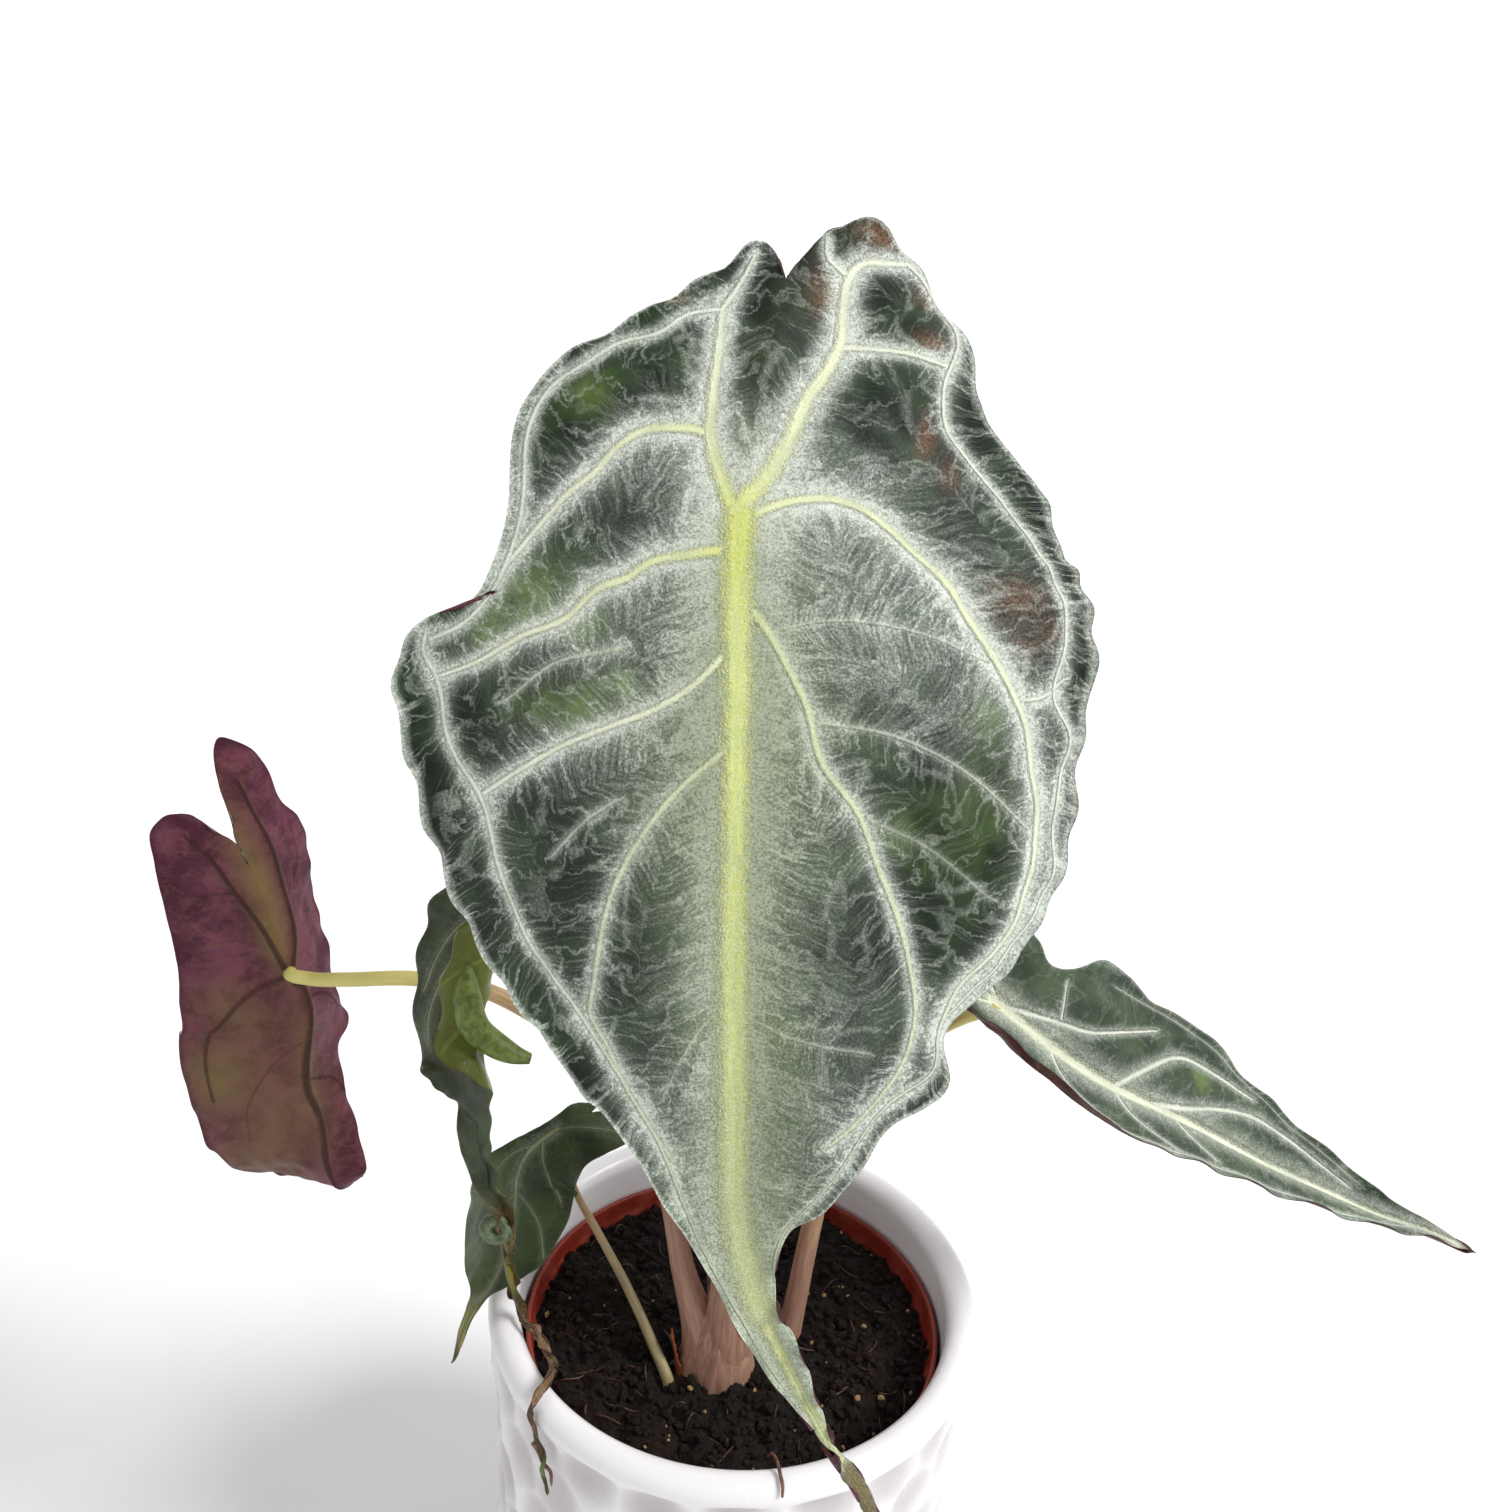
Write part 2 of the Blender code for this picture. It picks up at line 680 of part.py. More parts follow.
def left_blade():
    """A blade on the left whose purple underside faces the front; its tip curls away."""
    midrib = [
        from_rim(-150, 8, 157),
        from_rim(-141, 12, 129),
        from_rim(-136, 15, 108),
        from_rim(-131.5, 17.5, 85.5),
        from_rim(-128.5, 18, 71),
        from_rim(-129, 18.5, 57),
        from_rim(-128, 19, 41),
        from_rim(-126, 19, 28),
        from_rim(-123, 20.5, 18),
        from_rim(-120, 25, 10),
        from_rim(-118, 33, 6),
        from_rim(-117, 43, 6),
    ]
    facing = [
        (-80, -0.35, 0.92, -0.08),
        (0, -0.4, 0.91, -0.08),
        (40, -0.4, 0.91, 0),
        (58, -0.3, 0.9, 0.2),
        (72, -0.2, 0.5, 0.9),
        (90, -0.2, 0.1, 1),
    ]
    folds = [
        (-80, 8, 0.2, 0, -0.1),
        (-40, 30, 0.4, 0, -0.1),
        (0, 45, 0.3, 4, 0.1),
        (60, 35, 0.2, 4, 0.2),
        (100, 10, 0, 10, 0),
    ]
    return Blade(midrib, 3, facing, folds, (1.5, 30.0, 0.2))


LEFT_LEFT = [
    (0, -42), (-2, -55), (-4, -67), (-8, -73), (-13, -68), (-16, -60), (-16, -48), (-20, -39),
    (-20, -22), (-19, -5), (-20, 8), (-16, 14), (-21, 22), (-22, 31), (-16, 39), (-14, 52),
    (-17, 63), (-10, 76), (0, 92),
]
LEFT_RIGHT = [
    (0, -42), (4, -52), (8, -60), (14, -61), (18, -53), (23, -35), (28, -8), (33, 6), (34, 22),
    (33, 40), (31, 57), (25, 68), (13, 80), (0, 92),
]


def right_blade():
    """A long blade reaching out to the right, folded along its midrib like a gutter."""
    midrib = [
        from_rim(30, 17, 116),
        from_rim(49, 13.5, 108),
        from_rim(65.8, 10.7, 96.8),
        from_rim(78, 8, 88.5),
        from_rim(94, 5, 79),
        from_rim(122, 2, 67.5),
        from_rim(145, -1.5, 58),
        from_rim(162, -3.5, 52),
        from_rim(177, -5.5, 47),
        from_rim(191, -6.5, 43.5),
        from_rim(206, -8, 38),
    ]
    facing = [(-40, 0.3, -0.3, 0.9), (0, 0.3, -0.3, 0.9), (150, 0.3, -0.35, 0.9)]
    folds = [
        (-40, -18, 3.8, 30, -0.3),
        (30, -18, 3.8, 26, -0.3),
        (55, 2, 1.4, 24, -0.3),
        (110, 12, 2, 20, 0),
        (150, 20, 4, 30, 4),
    ]
    return Blade(midrib, 2, facing, folds, (1.2, 38.0, 0.0))


RIGHT_LEFT = [
    (0, -20), (-8, -33), (-16, -28), (-21, -10), (-22, 8), (-22, 25), (-20, 40), (-17, 55),
    (-14, 75), (-11, 95), (-8, 112), (-5, 128), (-2, 141), (0, 153),
]
RIGHT_RIGHT = [
    (0, -20), (10, -36), (20, -32), (24, -18), (22, 0), (19, 7), (23, 14), (31, 21), (32, 30),
    (29, 45), (28, 60), (22, 75), (18, 88), (13, 102), (8, 117), (4, 131), (2, 142), (0, 153),
]


def curled_blade():
    """A rolled-up blade behind the main one, whose long twisted tip hangs into the pot."""
    midrib = [
        from_rim(-58, 4, 131),
        from_rim(-68, -4, 124),
        from_rim(-73, -10, 113),
        from_rim(-74.5, -14, 102),
        from_rim(-74, -18, 91),
        from_rim(-72, -21, 84),
        from_rim(-70, -22.5, 76),
        from_rim(-69.5, -22, 64),
        from_rim(-67, -22, 52),
        from_rim(-64.5, -22, 44),
        from_rim(-64.5, -23, 34),
        from_rim(-65, -24.5, 24),
        beside_rim(201.5, -2.0, 13),
        beside_rim(200.5, -5.5, 4),
        beside_rim(203.5, -7.5, -2.0),
        beside_rim(212, -7.0, -3),
        beside_rim(218, -4.5, 1.5),
        beside_rim(222, 0.5, 2.6),
        beside_rim(224, 5.9, 0.3),
        beside_rim(224.5, 6.8, -9),
        beside_rim(227, 6.6, -16),
        beside_rim(229, 6.4, -24),
    ]
    facing = [
        (-10, -0.3, -0.8, 0.5),
        (53, -0.4, -0.9, 0.1),
        (78, -0.3, -1, 0),
        (98, 0.8, -0.7, 0),
        (109, 0.8, 0.5, 0.1),
        (121, -0.6, 0.8, 0),
        (138, 0.5, -0.8, 0.2),
        (163, 0.7, 0.3, 0.6),
        (179, 0.2, 0.3, 1),
        (187, -0.6, -0.6, 0.6),
        (205, -0.7, -0.7, 0),
    ]
    folds = [
        (-10, -20, 0.5, -20, 7),
        (13, -25, 0.5, -20, 9),
        (41, -25, 0.8, -20, 9),
        (51, -15, 1.5, 5, 4),
        (61, 5, 3, 10, 3),
        (73, 20, 2, 20, 2),
        (205, 10, 0, 10, 0),
    ]
    return Blade(midrib, 1, facing, folds, (1.5, 22.0, 0.0))


CURLED_LEFT = [
    (0, -8), (-7, -12), (-14, -8), (-20, 4), (-22, 18), (-22, 32), (-22, 43), (-16, 49),
    (-6.5, 53), (-5.4, 63), (-4.4, 75), (-3.4, 88), (-2.8, 103), (-2.4, 123), (-2, 143),
    (-2, 158), (-1, 173), (-0.8, 193), (0, 205),
]
CURLED_RIGHT = [
    (0, -8), (9, -12), (20, -6), (28, 6), (30, 20), (29, 30), (26, 38), (20, 46), (6.5, 53),
    (5, 63), (4, 75), (3.2, 88), (2.8, 103), (2.4, 123), (2, 143), (2, 158), (1, 173),
    (0.8, 193), (0, 205),
]


def low_blade():
    """A broad low blade that arches to the left and rests its narrow tip over the rim."""
    midrib = [
        from_rim(-28, 30, 40),
        from_rim(-43.4, 21.6, 42),
        from_rim(-56.3, 13, 39.4),
        from_rim(-63, 8.4, 34.2),
        from_rim(-65, 5.5, 28.5),
        from_rim(-65, 1.5, 22),
        beside_rim(183, -1.0, 14.6),
        beside_rim(188, 1.5, 8.5),
        beside_rim(192, 5.0, 4.5),
        beside_rim(195.5, 9.0, 3.0),
        beside_rim(198, 12.0, -1.5),
        beside_rim(199.5, 14.0, -6),
    ]
    facing = [
        (-40, -0.1, -0.5, 0.85),
        (0, -0.2, -0.6, 0.75),
        (20, -0.5, -0.75, 0.4),
        (60, -0.7, -0.5, 0.4),
        (80, -0.7, -0.5, 0.4),
    ]
    folds = [(-30, 0, -0.8, 0, -0.8), (50, 0, -0.8, 0, -0.8), (70, 0, 0, 0, 0)]
    return Blade(midrib, 2, facing, folds, (1.0, 26.0, 0.0))


LOW_LEFT = [
    (0, -12), (-2, -16), (-4, -12), (-4, -4), (-4, 4), (-8, 11), (-15, 17), (-21, 23),
    (-24, 31), (-21, 40), (-14, 46), (-6, 50), (-2.5, 56), (-1.6, 64), (0, 71),
]
LOW_RIGHT = [
    (0, -12), (6, -26), (11, -22), (13, -12), (14, -2), (18, 6), (19, 16), (18, 25),
    (16, 32), (15, 37), (11, 42), (5, 48), (2.5, 56), (1.6, 64), (0, 71),
]


def main():
    """Build every piece."""
    clear_scene()
    glaze = make_material("white_glaze", (0.86, 0.86, 0.88), 0.12)
    plastic = make_material("terracotta_plastic", (0.46, 0.085, 0.035), 0.55)
    earth = make_material("potting_soil", (0.028, 0.018, 0.012), 0.95)
    pink = make_material("pink_stalk", (0.42, 0.25, 0.19), 0.5)
    papery = make_material("dry_sheath", (0.33, 0.13, 0.05), 0.8)
    green = make_material("green_stalk", (0.5, 0.45, 0.22), 0.5)
    upper = make_material("blade_green", (0.06, 0.11, 0.07), 0.4)
    purple = make_material("blade_purple", (0.13, 0.04, 0.06), 0.5)
    olive = make_material("blade_olive", (0.06, 0.09, 0.02), 0.3)

    make_cover_pot(glaze)
    make_nursery_pot(plastic)

    main_leaf = main_blade()
    left_leaf = left_blade()
    right_leaf = right_blade()
    curled_leaf = curled_blade()
    low_leaf = low_blade()
    blade_solid("main_leaf", main_leaf, MAIN_LEFT, MAIN_RIGHT, upper, 34, 6)
    blade_solid("left_leaf", left_leaf, LEFT_LEFT, LEFT_RIGHT, purple, 26, 5)
    blade_solid("right_leaf", right_leaf, RIGHT_LEFT, RIGHT_RIGHT, upper, 26, 5)
    blade_solid("curled_leaf", curled_leaf, CURLED_LEFT, CURLED_RIGHT, olive, 44, 6, spread=1.15)
    blade_solid("low_leaf", low_leaf, LOW_LEFT, LOW_RIGHT, olive, 22, 5)

    make_stem_base(pink)
    make_dry_sheath(papery)
    make_stalk("main_stalk", main_stalk_path(), main_leaf, MAIN_STALK_DIAMETER, pink)
    make_stalk("left_stalk", left_stalk_path(), left_leaf, LEFT_STALK_DIAMETER, pink)
    make_stalk("curled_stalk", curled_stalk_path(), curled_leaf, CURLED_STALK_DIAMETER, pink)
    make_stalk("right_stalk", right_stalk_path(), right_leaf, RIGHT_STALK_DIAMETER, pink)
    make_stalk("low_stalk", low_stalk_path(), low_leaf, LOW_STALK_DIAMETER, green)
    pockets = [
        stem_base_cutter(pink),
        stalk_cutter("right_stalk_pocket", right_stalk_path(), RIGHT_STALK_DIAMETER, pink),
        stalk_cutter("low_stalk_pocket", low_stalk_path(), LOW_STALK_DIAMETER, pink),
        stalk_cutter("curled_stalk_pocket", curled_stalk_path(), CURLED_STALK_DIAMETER, pink),
    ]
    make_soil(earth, pockets)


if __name__ == "__main__":
    main()
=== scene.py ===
"""Potted alocasia: the looks of the plant, its soil and its two pots, built round the CAD frame.

Every new piece is a surface worked out with numpy: a blade is a function of the distance
across and along its midrib, a stalk is a circle carried along a path, a pot is a profile
turned about the vertical axis. Lengths are in millimetres until a mesh is made.
"""
import math

import bpy
import numpy as np
from mathutils import Matrix, Vector


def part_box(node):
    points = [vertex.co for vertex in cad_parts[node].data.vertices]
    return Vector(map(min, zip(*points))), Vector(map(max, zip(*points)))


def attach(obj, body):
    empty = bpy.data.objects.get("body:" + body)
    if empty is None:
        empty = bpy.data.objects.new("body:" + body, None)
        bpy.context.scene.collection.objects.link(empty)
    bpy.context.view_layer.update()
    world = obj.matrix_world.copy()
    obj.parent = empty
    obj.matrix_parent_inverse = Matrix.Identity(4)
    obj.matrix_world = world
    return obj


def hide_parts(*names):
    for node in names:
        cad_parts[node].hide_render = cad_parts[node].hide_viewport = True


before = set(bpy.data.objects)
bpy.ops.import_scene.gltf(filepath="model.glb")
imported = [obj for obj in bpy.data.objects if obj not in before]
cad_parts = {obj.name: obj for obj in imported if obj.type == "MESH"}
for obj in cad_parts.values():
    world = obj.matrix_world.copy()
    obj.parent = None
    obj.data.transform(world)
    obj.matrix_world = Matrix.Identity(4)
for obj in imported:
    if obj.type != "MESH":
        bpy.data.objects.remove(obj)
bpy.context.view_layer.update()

bl_info = {
    "name": "Potted Alocasia",
    "version": (1, 0, 0),
    "blender": (4, 5, 0),
    "location": "View3D > Sidebar > Alocasia",
    "description": "Builds a potted alocasia: blades, stalks, soil, pots and a plain stage",
    "category": "Add Mesh",
}

MM = 0.001
BODY = "root"


def node_box(name):
    """A CAD node's lowest and highest corners in millimetres."""
    low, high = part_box(name)
    return np.array(low) / MM, np.array(high) / MM


POT_HIGH = node_box("cover_pot")[1]
NURSERY_LOW, NURSERY_HIGH = node_box("nursery_pot")
SOIL_LOW, SOIL_HIGH = node_box("soil")
STEM_LOW, STEM_HIGH = node_box("stem_base")
STEM_MIDDLE = (STEM_LOW + STEM_HIGH) / 2
STEM_HALF = (STEM_HIGH - STEM_LOW) / 2
RIM_RADIUS = float(POT_HIGH[0])
RIM_HEIGHT = float(POT_HIGH[2])


def srgb(red, green, blue):
    """A display colour (0 to 255) as the linear values that shaders use."""
    shares = np.array((red, green, blue)) / 255
    low = shares / 12.92
    high = ((shares + 0.055) / 1.055) ** 2.4
    return tuple(float(v) for v in np.where(shares <= 0.04045, low, high))


# ---- settings

def colour(name, description, default):
    """A colour setting, given as display values."""
    return bpy.props.FloatVectorProperty(
        name=name, description=description, default=srgb(*default),
        subtype="COLOR", size=3, min=0.0, max=1.0,
    )


def length(name, description, default):
    """A length setting in millimetres."""
    return bpy.props.FloatProperty(
        name=name, description=description, default=default, unit="NONE", min=0.0,
    )


def number(name, description, default, least=0):
    """A count, or a plain strength, as a setting."""
    kind = bpy.props.IntProperty if isinstance(default, int) else bpy.props.FloatProperty
    return kind(name=name, description=description, default=default, min=least)


class PotSettings(bpy.types.PropertyGroup):
    """Sizes and colours of the two pots."""

    wall: length("Wall", "Thickness of the cover pot's wall, mm", 9.0)
    floor: length("Floor", "Thickness of the cover pot's floor, mm", 7.0)
    rim_band: length("Rim band", "Height of the smooth band under the rim, mm", 6.5)
    dimple_depth: length("Dimple depth", "Depth of the hammered dimples, mm", 3.0)
    dimples_round: number("Dimples round", "Dimples in one row round the pot", 21, 6)
    glaze: colour("Glaze", "Colour of the white glaze", (233, 231, 233))
    # The glaze's painted shade: a darker grey laid into the dimples, where shade falls.
    glaze_painted_shade: colour("Glaze painted shade", "Colour of the painted shade in the dimples", (188, 182, 184))
    plastic: colour("Nursery pot", "Terracotta plastic", (128, 40, 26))
    plastic_worn: colour("Nursery pot, worn", "Scuffed terracotta plastic", (160, 70, 50))


class SoilSettings(bpy.types.PropertyGroup):
    """The potting mix."""

    roughness: length("Lumpiness", "Height of the lumps on the surface, mm", 1.5)
    crumbs: number("Crumbs", "Loose crumbs on the surface", 2600)
    grains: number("Grains", "Tan mineral grains", 70)
    fibres: number("Fibres", "Coir and bark fibres", 100)
    dark: colour("Wet peat", "Darkest soil", (19, 13, 10))
    light: colour("Dry peat", "Lighter crumbs", (48, 33, 25))
    grain: colour("Grain", "Mineral grains", (158, 124, 84))
    fibre: colour("Fibre", "Coir fibres", (76, 48, 31))


class StalkSettings(bpy.types.PropertyGroup):
    """The stalks and their sheathing base."""

    pink: colour("Base", "Dusty pink of the lower stalks", (168, 132, 112))
    pink_dark: colour("Base mottle", "Darker mottling of the lower stalks", (146, 109, 91))
    green: colour("Top", "Yellow-green of the upper stalks", (206, 196, 118))
    sheath: colour("Dry sheath", "Papery brown sheath", (150, 78, 40))


class LeafSettings(bpy.types.PropertyGroup):
    """The blades."""

    thickness: length("Thickness", "Thickness of a blade away from its veins, mm", 0.8)
    quilting: length("Quilting", "How far the blade swells between its veins, mm", 1.5)
    ground: colour("Ground", "Blackish green between the veins", (17, 28, 20))
    ground_light: colour("Ground, light", "Greener parts of the ground", (38, 56, 33))
    silver: colour("Silver", "Silvery haze and hairs beside the veins", (212, 219, 208))
    sage: colour("Sage", "Grey-green beside the midrib", (150, 160, 130))
    vein_green: colour("Vein", "Yellow-green of the midrib", (216, 224, 138))
    vein_white: colour("Vein, pale", "Pale outer veins", (240, 243, 228))
    patch: colour("Patch", "Bright green patches", (104, 128, 62))
    scar: colour("Scar", "Brown scars near the lobes", (140, 96, 70))
    plum: colour("Underside", "Plum purple of the undersides", (70, 27, 44))
    plum_light: colour("Underside, light", "Paler mottling of the undersides", (112, 60, 76))
    olive: colour("Underside olive", "Olive parts of the undersides", (122, 102, 62))
    glossy: colour("Rolled blade", "Olive green of the rolled blade", (25, 35, 9))
    glossy_light: colour("Rolled blade, light", "Yellower parts of it", (98, 112, 42))


class StageSettings(bpy.types.PropertyGroup):
    """Floor, light and camera."""

    floor: colour("Floor", "Plain pale floor", (247, 247, 247))
    world_light: number("Surrounding light", "Strength of the even light", 0.6)
    key_light: number("Key light", "Strength of the main soft light", 2.7)
    focal_length: number("Focal length", "Camera lens, mm on a 36 mm sensor", 36.0, 1)


def settings(name):
    """The scene's pot, soil, stalk, leaf or stage settings."""
    return getattr(bpy.context.scene, "alocasia_" + name)


# ---- curves and frames

def smooth_curve(stations, values, where):
    """Values read from a smooth curve through (station, value) pairs, straight past its ends.

    Cubic pieces whose slopes are the neighbouring chords' slopes, weighted by their lengths.
    """
    stations = np.asarray(stations, float)
    values = np.asarray(values, float).reshape(len(stations), -1)
    where = np.asarray(where, float)
    flat = where.ravel()
    gaps = np.diff(stations)[:, None]
    slopes = np.diff(values, axis=0) / gaps
    tangents = np.empty_like(values)
    tangents[0] = slopes[0]
    tangents[-1] = slopes[-1]
    tangents[1:-1] = (slopes[:-1] * gaps[1:] + slopes[1:] * gaps[:-1]) / (gaps[:-1] + gaps[1:])
    index = np.clip(np.searchsorted(stations, flat) - 1, 0, len(stations) - 2)
    span = gaps[index]
    share = (flat[:, None] - stations[index][:, None]) / span
    inside = np.clip(share, 0.0, 1.0)
    square = inside ** 2
    cube = inside ** 3
    result = (
        (2 * cube - 3 * square + 1) * values[index]
        + (cube - 2 * square + inside) * span * tangents[index]
        + (3 * square - 2 * cube) * values[index + 1]
        + (cube - square) * span * tangents[index + 1]
    )
    result += np.where(share < 0, share * span * tangents[0], 0.0)
    result += np.where(share > 1, (share - 1) * span * tangents[-1], 0.0)
    return result.reshape(where.shape + (values.shape[1],))


def chord_stations(points):
    """Distances along a run of points, from its first point."""
    steps = np.linalg.norm(np.diff(np.asarray(points, float), axis=0), axis=1)
    return np.concatenate(([0.0], np.cumsum(steps)))


def unit(vectors):
    """Vectors scaled to length one."""
    return vectors / np.maximum(np.linalg.norm(vectors, axis=-1, keepdims=True), 1e-9)


def smooth_step(low, high, value):
    """0 below low, 1 above high, and an S-shaped ramp between them."""
    share = np.clip((value - low) / (high - low), 0.0, 1.0)
    return share * share * (3 - 2 * share)


def points_of(x, y, z):
    """Points from three arrays of coordinates that are spread over one another."""
    return np.stack(np.broadcast_arrays(x, y, z), -1)


def round_turn(sides):
    """Evenly spaced angles once round."""
    return np.linspace(0.0, 2 * math.pi, sides, endpoint=False)


def waves(x, y, seed, wavelength, count=14):
    """Soft random relief from -1 to 1: the mean of plane waves in random directions."""
    random = np.random.default_rng(seed)
    turn = random.uniform(0, 2 * math.pi, count)
    phase = random.uniform(0, 2 * math.pi, count)
    pitch = 2 * math.pi / (wavelength * random.uniform(0.7, 1.5, count))
    total = np.zeros(np.broadcast(x, y).shape)
    for direction, start, step in zip(turn, phase, pitch):
        total += np.sin(step * (x * math.cos(direction) + y * math.sin(direction)) + start)
    return total / math.sqrt(count / 2) / 2


# ---- meshes

def make_piece(name, points, faces, materials, nodes=(), face_material=None):
    """One piece from points in millimetres and a list of face arrays, riding on the plant.

    Faces are arrays of 3 or 4 columns. A closed piece whose faces point inwards is turned.
    """
    points = np.asarray(points, float)
    faces = [np.asarray(block, np.int64) for block in faces if len(block)]
    volume = 0.0
    for block in faces:
        corner = points[block]
        for step in range(1, block.shape[1] - 1):
            first, second, third = corner[:, 0], corner[:, step], corner[:, step + 1]
            volume += np.einsum("ij,ij->", first, np.cross(second, third))
    if volume < 0:
        faces = [block[:, ::-1] for block in faces]
    mesh = bpy.data.meshes.new(name)
    mesh.vertices.add(len(points))
    mesh.vertices.foreach_set("co", (points * MM).astype(np.float32).ravel())
    sizes = np.concatenate([np.full(len(block), block.shape[1]) for block in faces])
    corners = np.concatenate([block.ravel() for block in faces])
    mesh.loops.add(len(corners))
    mesh.loops.foreach_set("vertex_index", corners.astype(np.int32))
    mesh.polygons.add(len(sizes))
    starts = np.concatenate(([0], np.cumsum(sizes)[:-1]))
    mesh.polygons.foreach_set("loop_start", starts.astype(np.int32))
    for material in materials:
        mesh.materials.append(material)
    if face_material is not None:
        mesh.polygons.foreach_set("material_index", face_material.astype(np.int32))
    mesh.update(calc_edges=True)
    mesh.shade_smooth()
    item = add_object(name, mesh)
    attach(item, BODY)
    if nodes:
        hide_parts(*nodes)
    return item


def add_object(name, data):
    """A new object in the scene."""
    item = bpy.data.objects.new(name, data)
    bpy.context.scene.collection.objects.link(item)
    return item


def corner_vertices(mesh):
    """The vertex index of each face corner."""
    found = np.empty(len(mesh.loops), np.int32)
    mesh.loops.foreach_get("vertex_index", found)
    return found


def store(mesh, name, values, kind="FLOAT", domain="POINT", key="value"):
    """A number or a vector for each vertex or face corner."""
    layer = mesh.attributes.new(name, kind, domain)
    layer.data.foreach_set(key, np.asarray(values, np.float32).ravel())


def store_uv(mesh, name, values):
    """A UV map from two numbers for each face corner."""
    layer = mesh.uv_layers.new(name=name)
    layer.uv.foreach_set("vector", np.asarray(values, np.float32).ravel())


def ring_faces(levels, sides):
    """Quads between rings of points, each ring closed."""
    level = np.arange(levels - 1)[:, None] * sides
    side = np.arange(sides)[None]
    after = (side + 1) % sides
    quads = np.stack((level + side, level + after, level + sides + after, level + sides + side), -1)
    return quads.reshape(-1, 4)


def closed_rings(levels, sides):
    """Rings of points whose ends are closed by fans round two more points, first and last."""
    side = np.arange(sides)
    after = (side + 1) % sides
    count = levels * sides
    first = np.stack((np.full(sides, count), after, side), -1)
    last = np.stack((count - sides + side, count - sides + after, np.full(sides, count + 1)), -1)
    return [ring_faces(levels, sides), np.concatenate((first, last))]


# ---- shader trees

class Shader:
    """A Principled material whose pattern is put together by short calls."""

    def __init__(self, name, roughness=0.5, specular=0.5, coat=0.0, coat_roughness=0.1):
        self.material = bpy.data.materials.new(name)
        self.material.use_nodes = True
        self.tree = self.material.node_tree
        self.surface = self.tree.nodes["Principled BSDF"]
        self.surface.inputs["Roughness"].default_value = roughness
        self.surface.inputs["Specular IOR Level"].default_value = specular
        self.surface.inputs["Coat Weight"].default_value = coat
        self.surface.inputs["Coat Roughness"].default_value = coat_roughness

    def put(self, socket, value):
        """Links a socket, or sets a plain number, vector or colour."""
        if isinstance(value, bpy.types.NodeSocket):
            self.tree.links.new(value, socket)
        elif hasattr(value, "__len__"):
            socket.default_value = (*value, 1.0)[:len(socket.default_value)]
        else:
            socket.default_value = value

    def node(self, kind, inputs=(), output=0, **settings):
        """One output of a new node; inputs pair a socket's name or number with its value."""
        made = self.tree.nodes.new("ShaderNode" + kind)
        for key, value in settings.items():
            setattr(made, key, value)
        for key, value in dict(inputs).items():
            self.put(made.inputs[key], value)
        return made.outputs[output]

    def math(self, operation, *values, clamp=False):
        """One Math node."""
        return self.node("Math", enumerate(values), operation=operation, use_clamp=clamp)

    def times(self, first, second, clamp=False):
        """First times second."""
        return self.math("MULTIPLY", first, second, clamp=clamp)

    def times_add(self, first, second, third, clamp=False):
        """First times second, plus third."""
        return self.math("MULTIPLY_ADD", first, second, third, clamp=clamp)

    def step(self, value, low, high, start=0.0, end=1.0):
        """A smooth ramp from start at low to end at high."""
        ends = {"From Min": low, "From Max": high, "To Min": start, "To Max": end}
        return self.node(
            "MapRange", {"Value": value, **ends}, interpolation_type="SMOOTHSTEP", clamp=True
        )

    def mix(self, share, first, second):
        """A mix of two colours."""
        return self.node("Mix", {0: share, 6: first, 7: second}, 2, data_type="RGBA")

    def vector(self, x, y, z):
        """A vector from three numbers."""
        return self.node("CombineXYZ", enumerate((x, y, z)))

    def split(self, vector):
        """The three numbers of a vector."""
        return tuple(self.node("SeparateXYZ", {0: vector}).node.outputs)

    def place(self):
        """The place on the piece, in millimetres."""
        source = self.node("TexCoord", output="Object")
        return self.node("VectorMath", {0: source, "Scale": 1 / MM}, operation="SCALE")

    def drawn_out(self, vector, squeeze):
        """A vector squeezed along its third direction, which draws a pattern out along it."""
        return self.node("Mapping", {"Vector": vector, "Scale": (1.0, 1.0, squeeze)})

    def uv(self, name):
        """The two numbers of a UV map."""
        return self.split(self.node("UVMap", uv_map=name))[:2]

    def value(self, name, output="Fac"):
        """A stored number, or a stored vector."""
        return self.node("Attribute", output=output, attribute_name=name)

    def noise(self, vector, scale=1.0, detail=3.0, rough=0.55, twist=0.0):
        """Soft noise from 0 to 1."""
        look = {"Scale": scale, "Detail": detail, "Roughness": rough, "Distortion": twist}
        return self.node("TexNoise", {"Vector": vector, **look})

    def cell_edge(self, vector, scale):
        """The distance to the nearest border between random cells."""
        inputs = {"Vector": vector, "Scale": scale}
        return self.node("TexVoronoi", inputs, "Distance", feature="DISTANCE_TO_EDGE")

    def bump(self, height, depth, strength=1.0):
        """Relief from a height that is depth metres for a step of one."""
        relief = {"Height": height, "Distance": depth, "Strength": strength}
        self.put(self.surface.inputs["Normal"], self.node("Bump", relief))

    def finish(self, base, roughness=None):
        """Sets the colour and the roughness pattern, and returns the material."""
        self.put(self.surface.inputs["Base Color"], base)
        if roughness is not None:
            self.put(self.surface.inputs["Roughness"], roughness)
        return self.material


# ---- blade surfaces

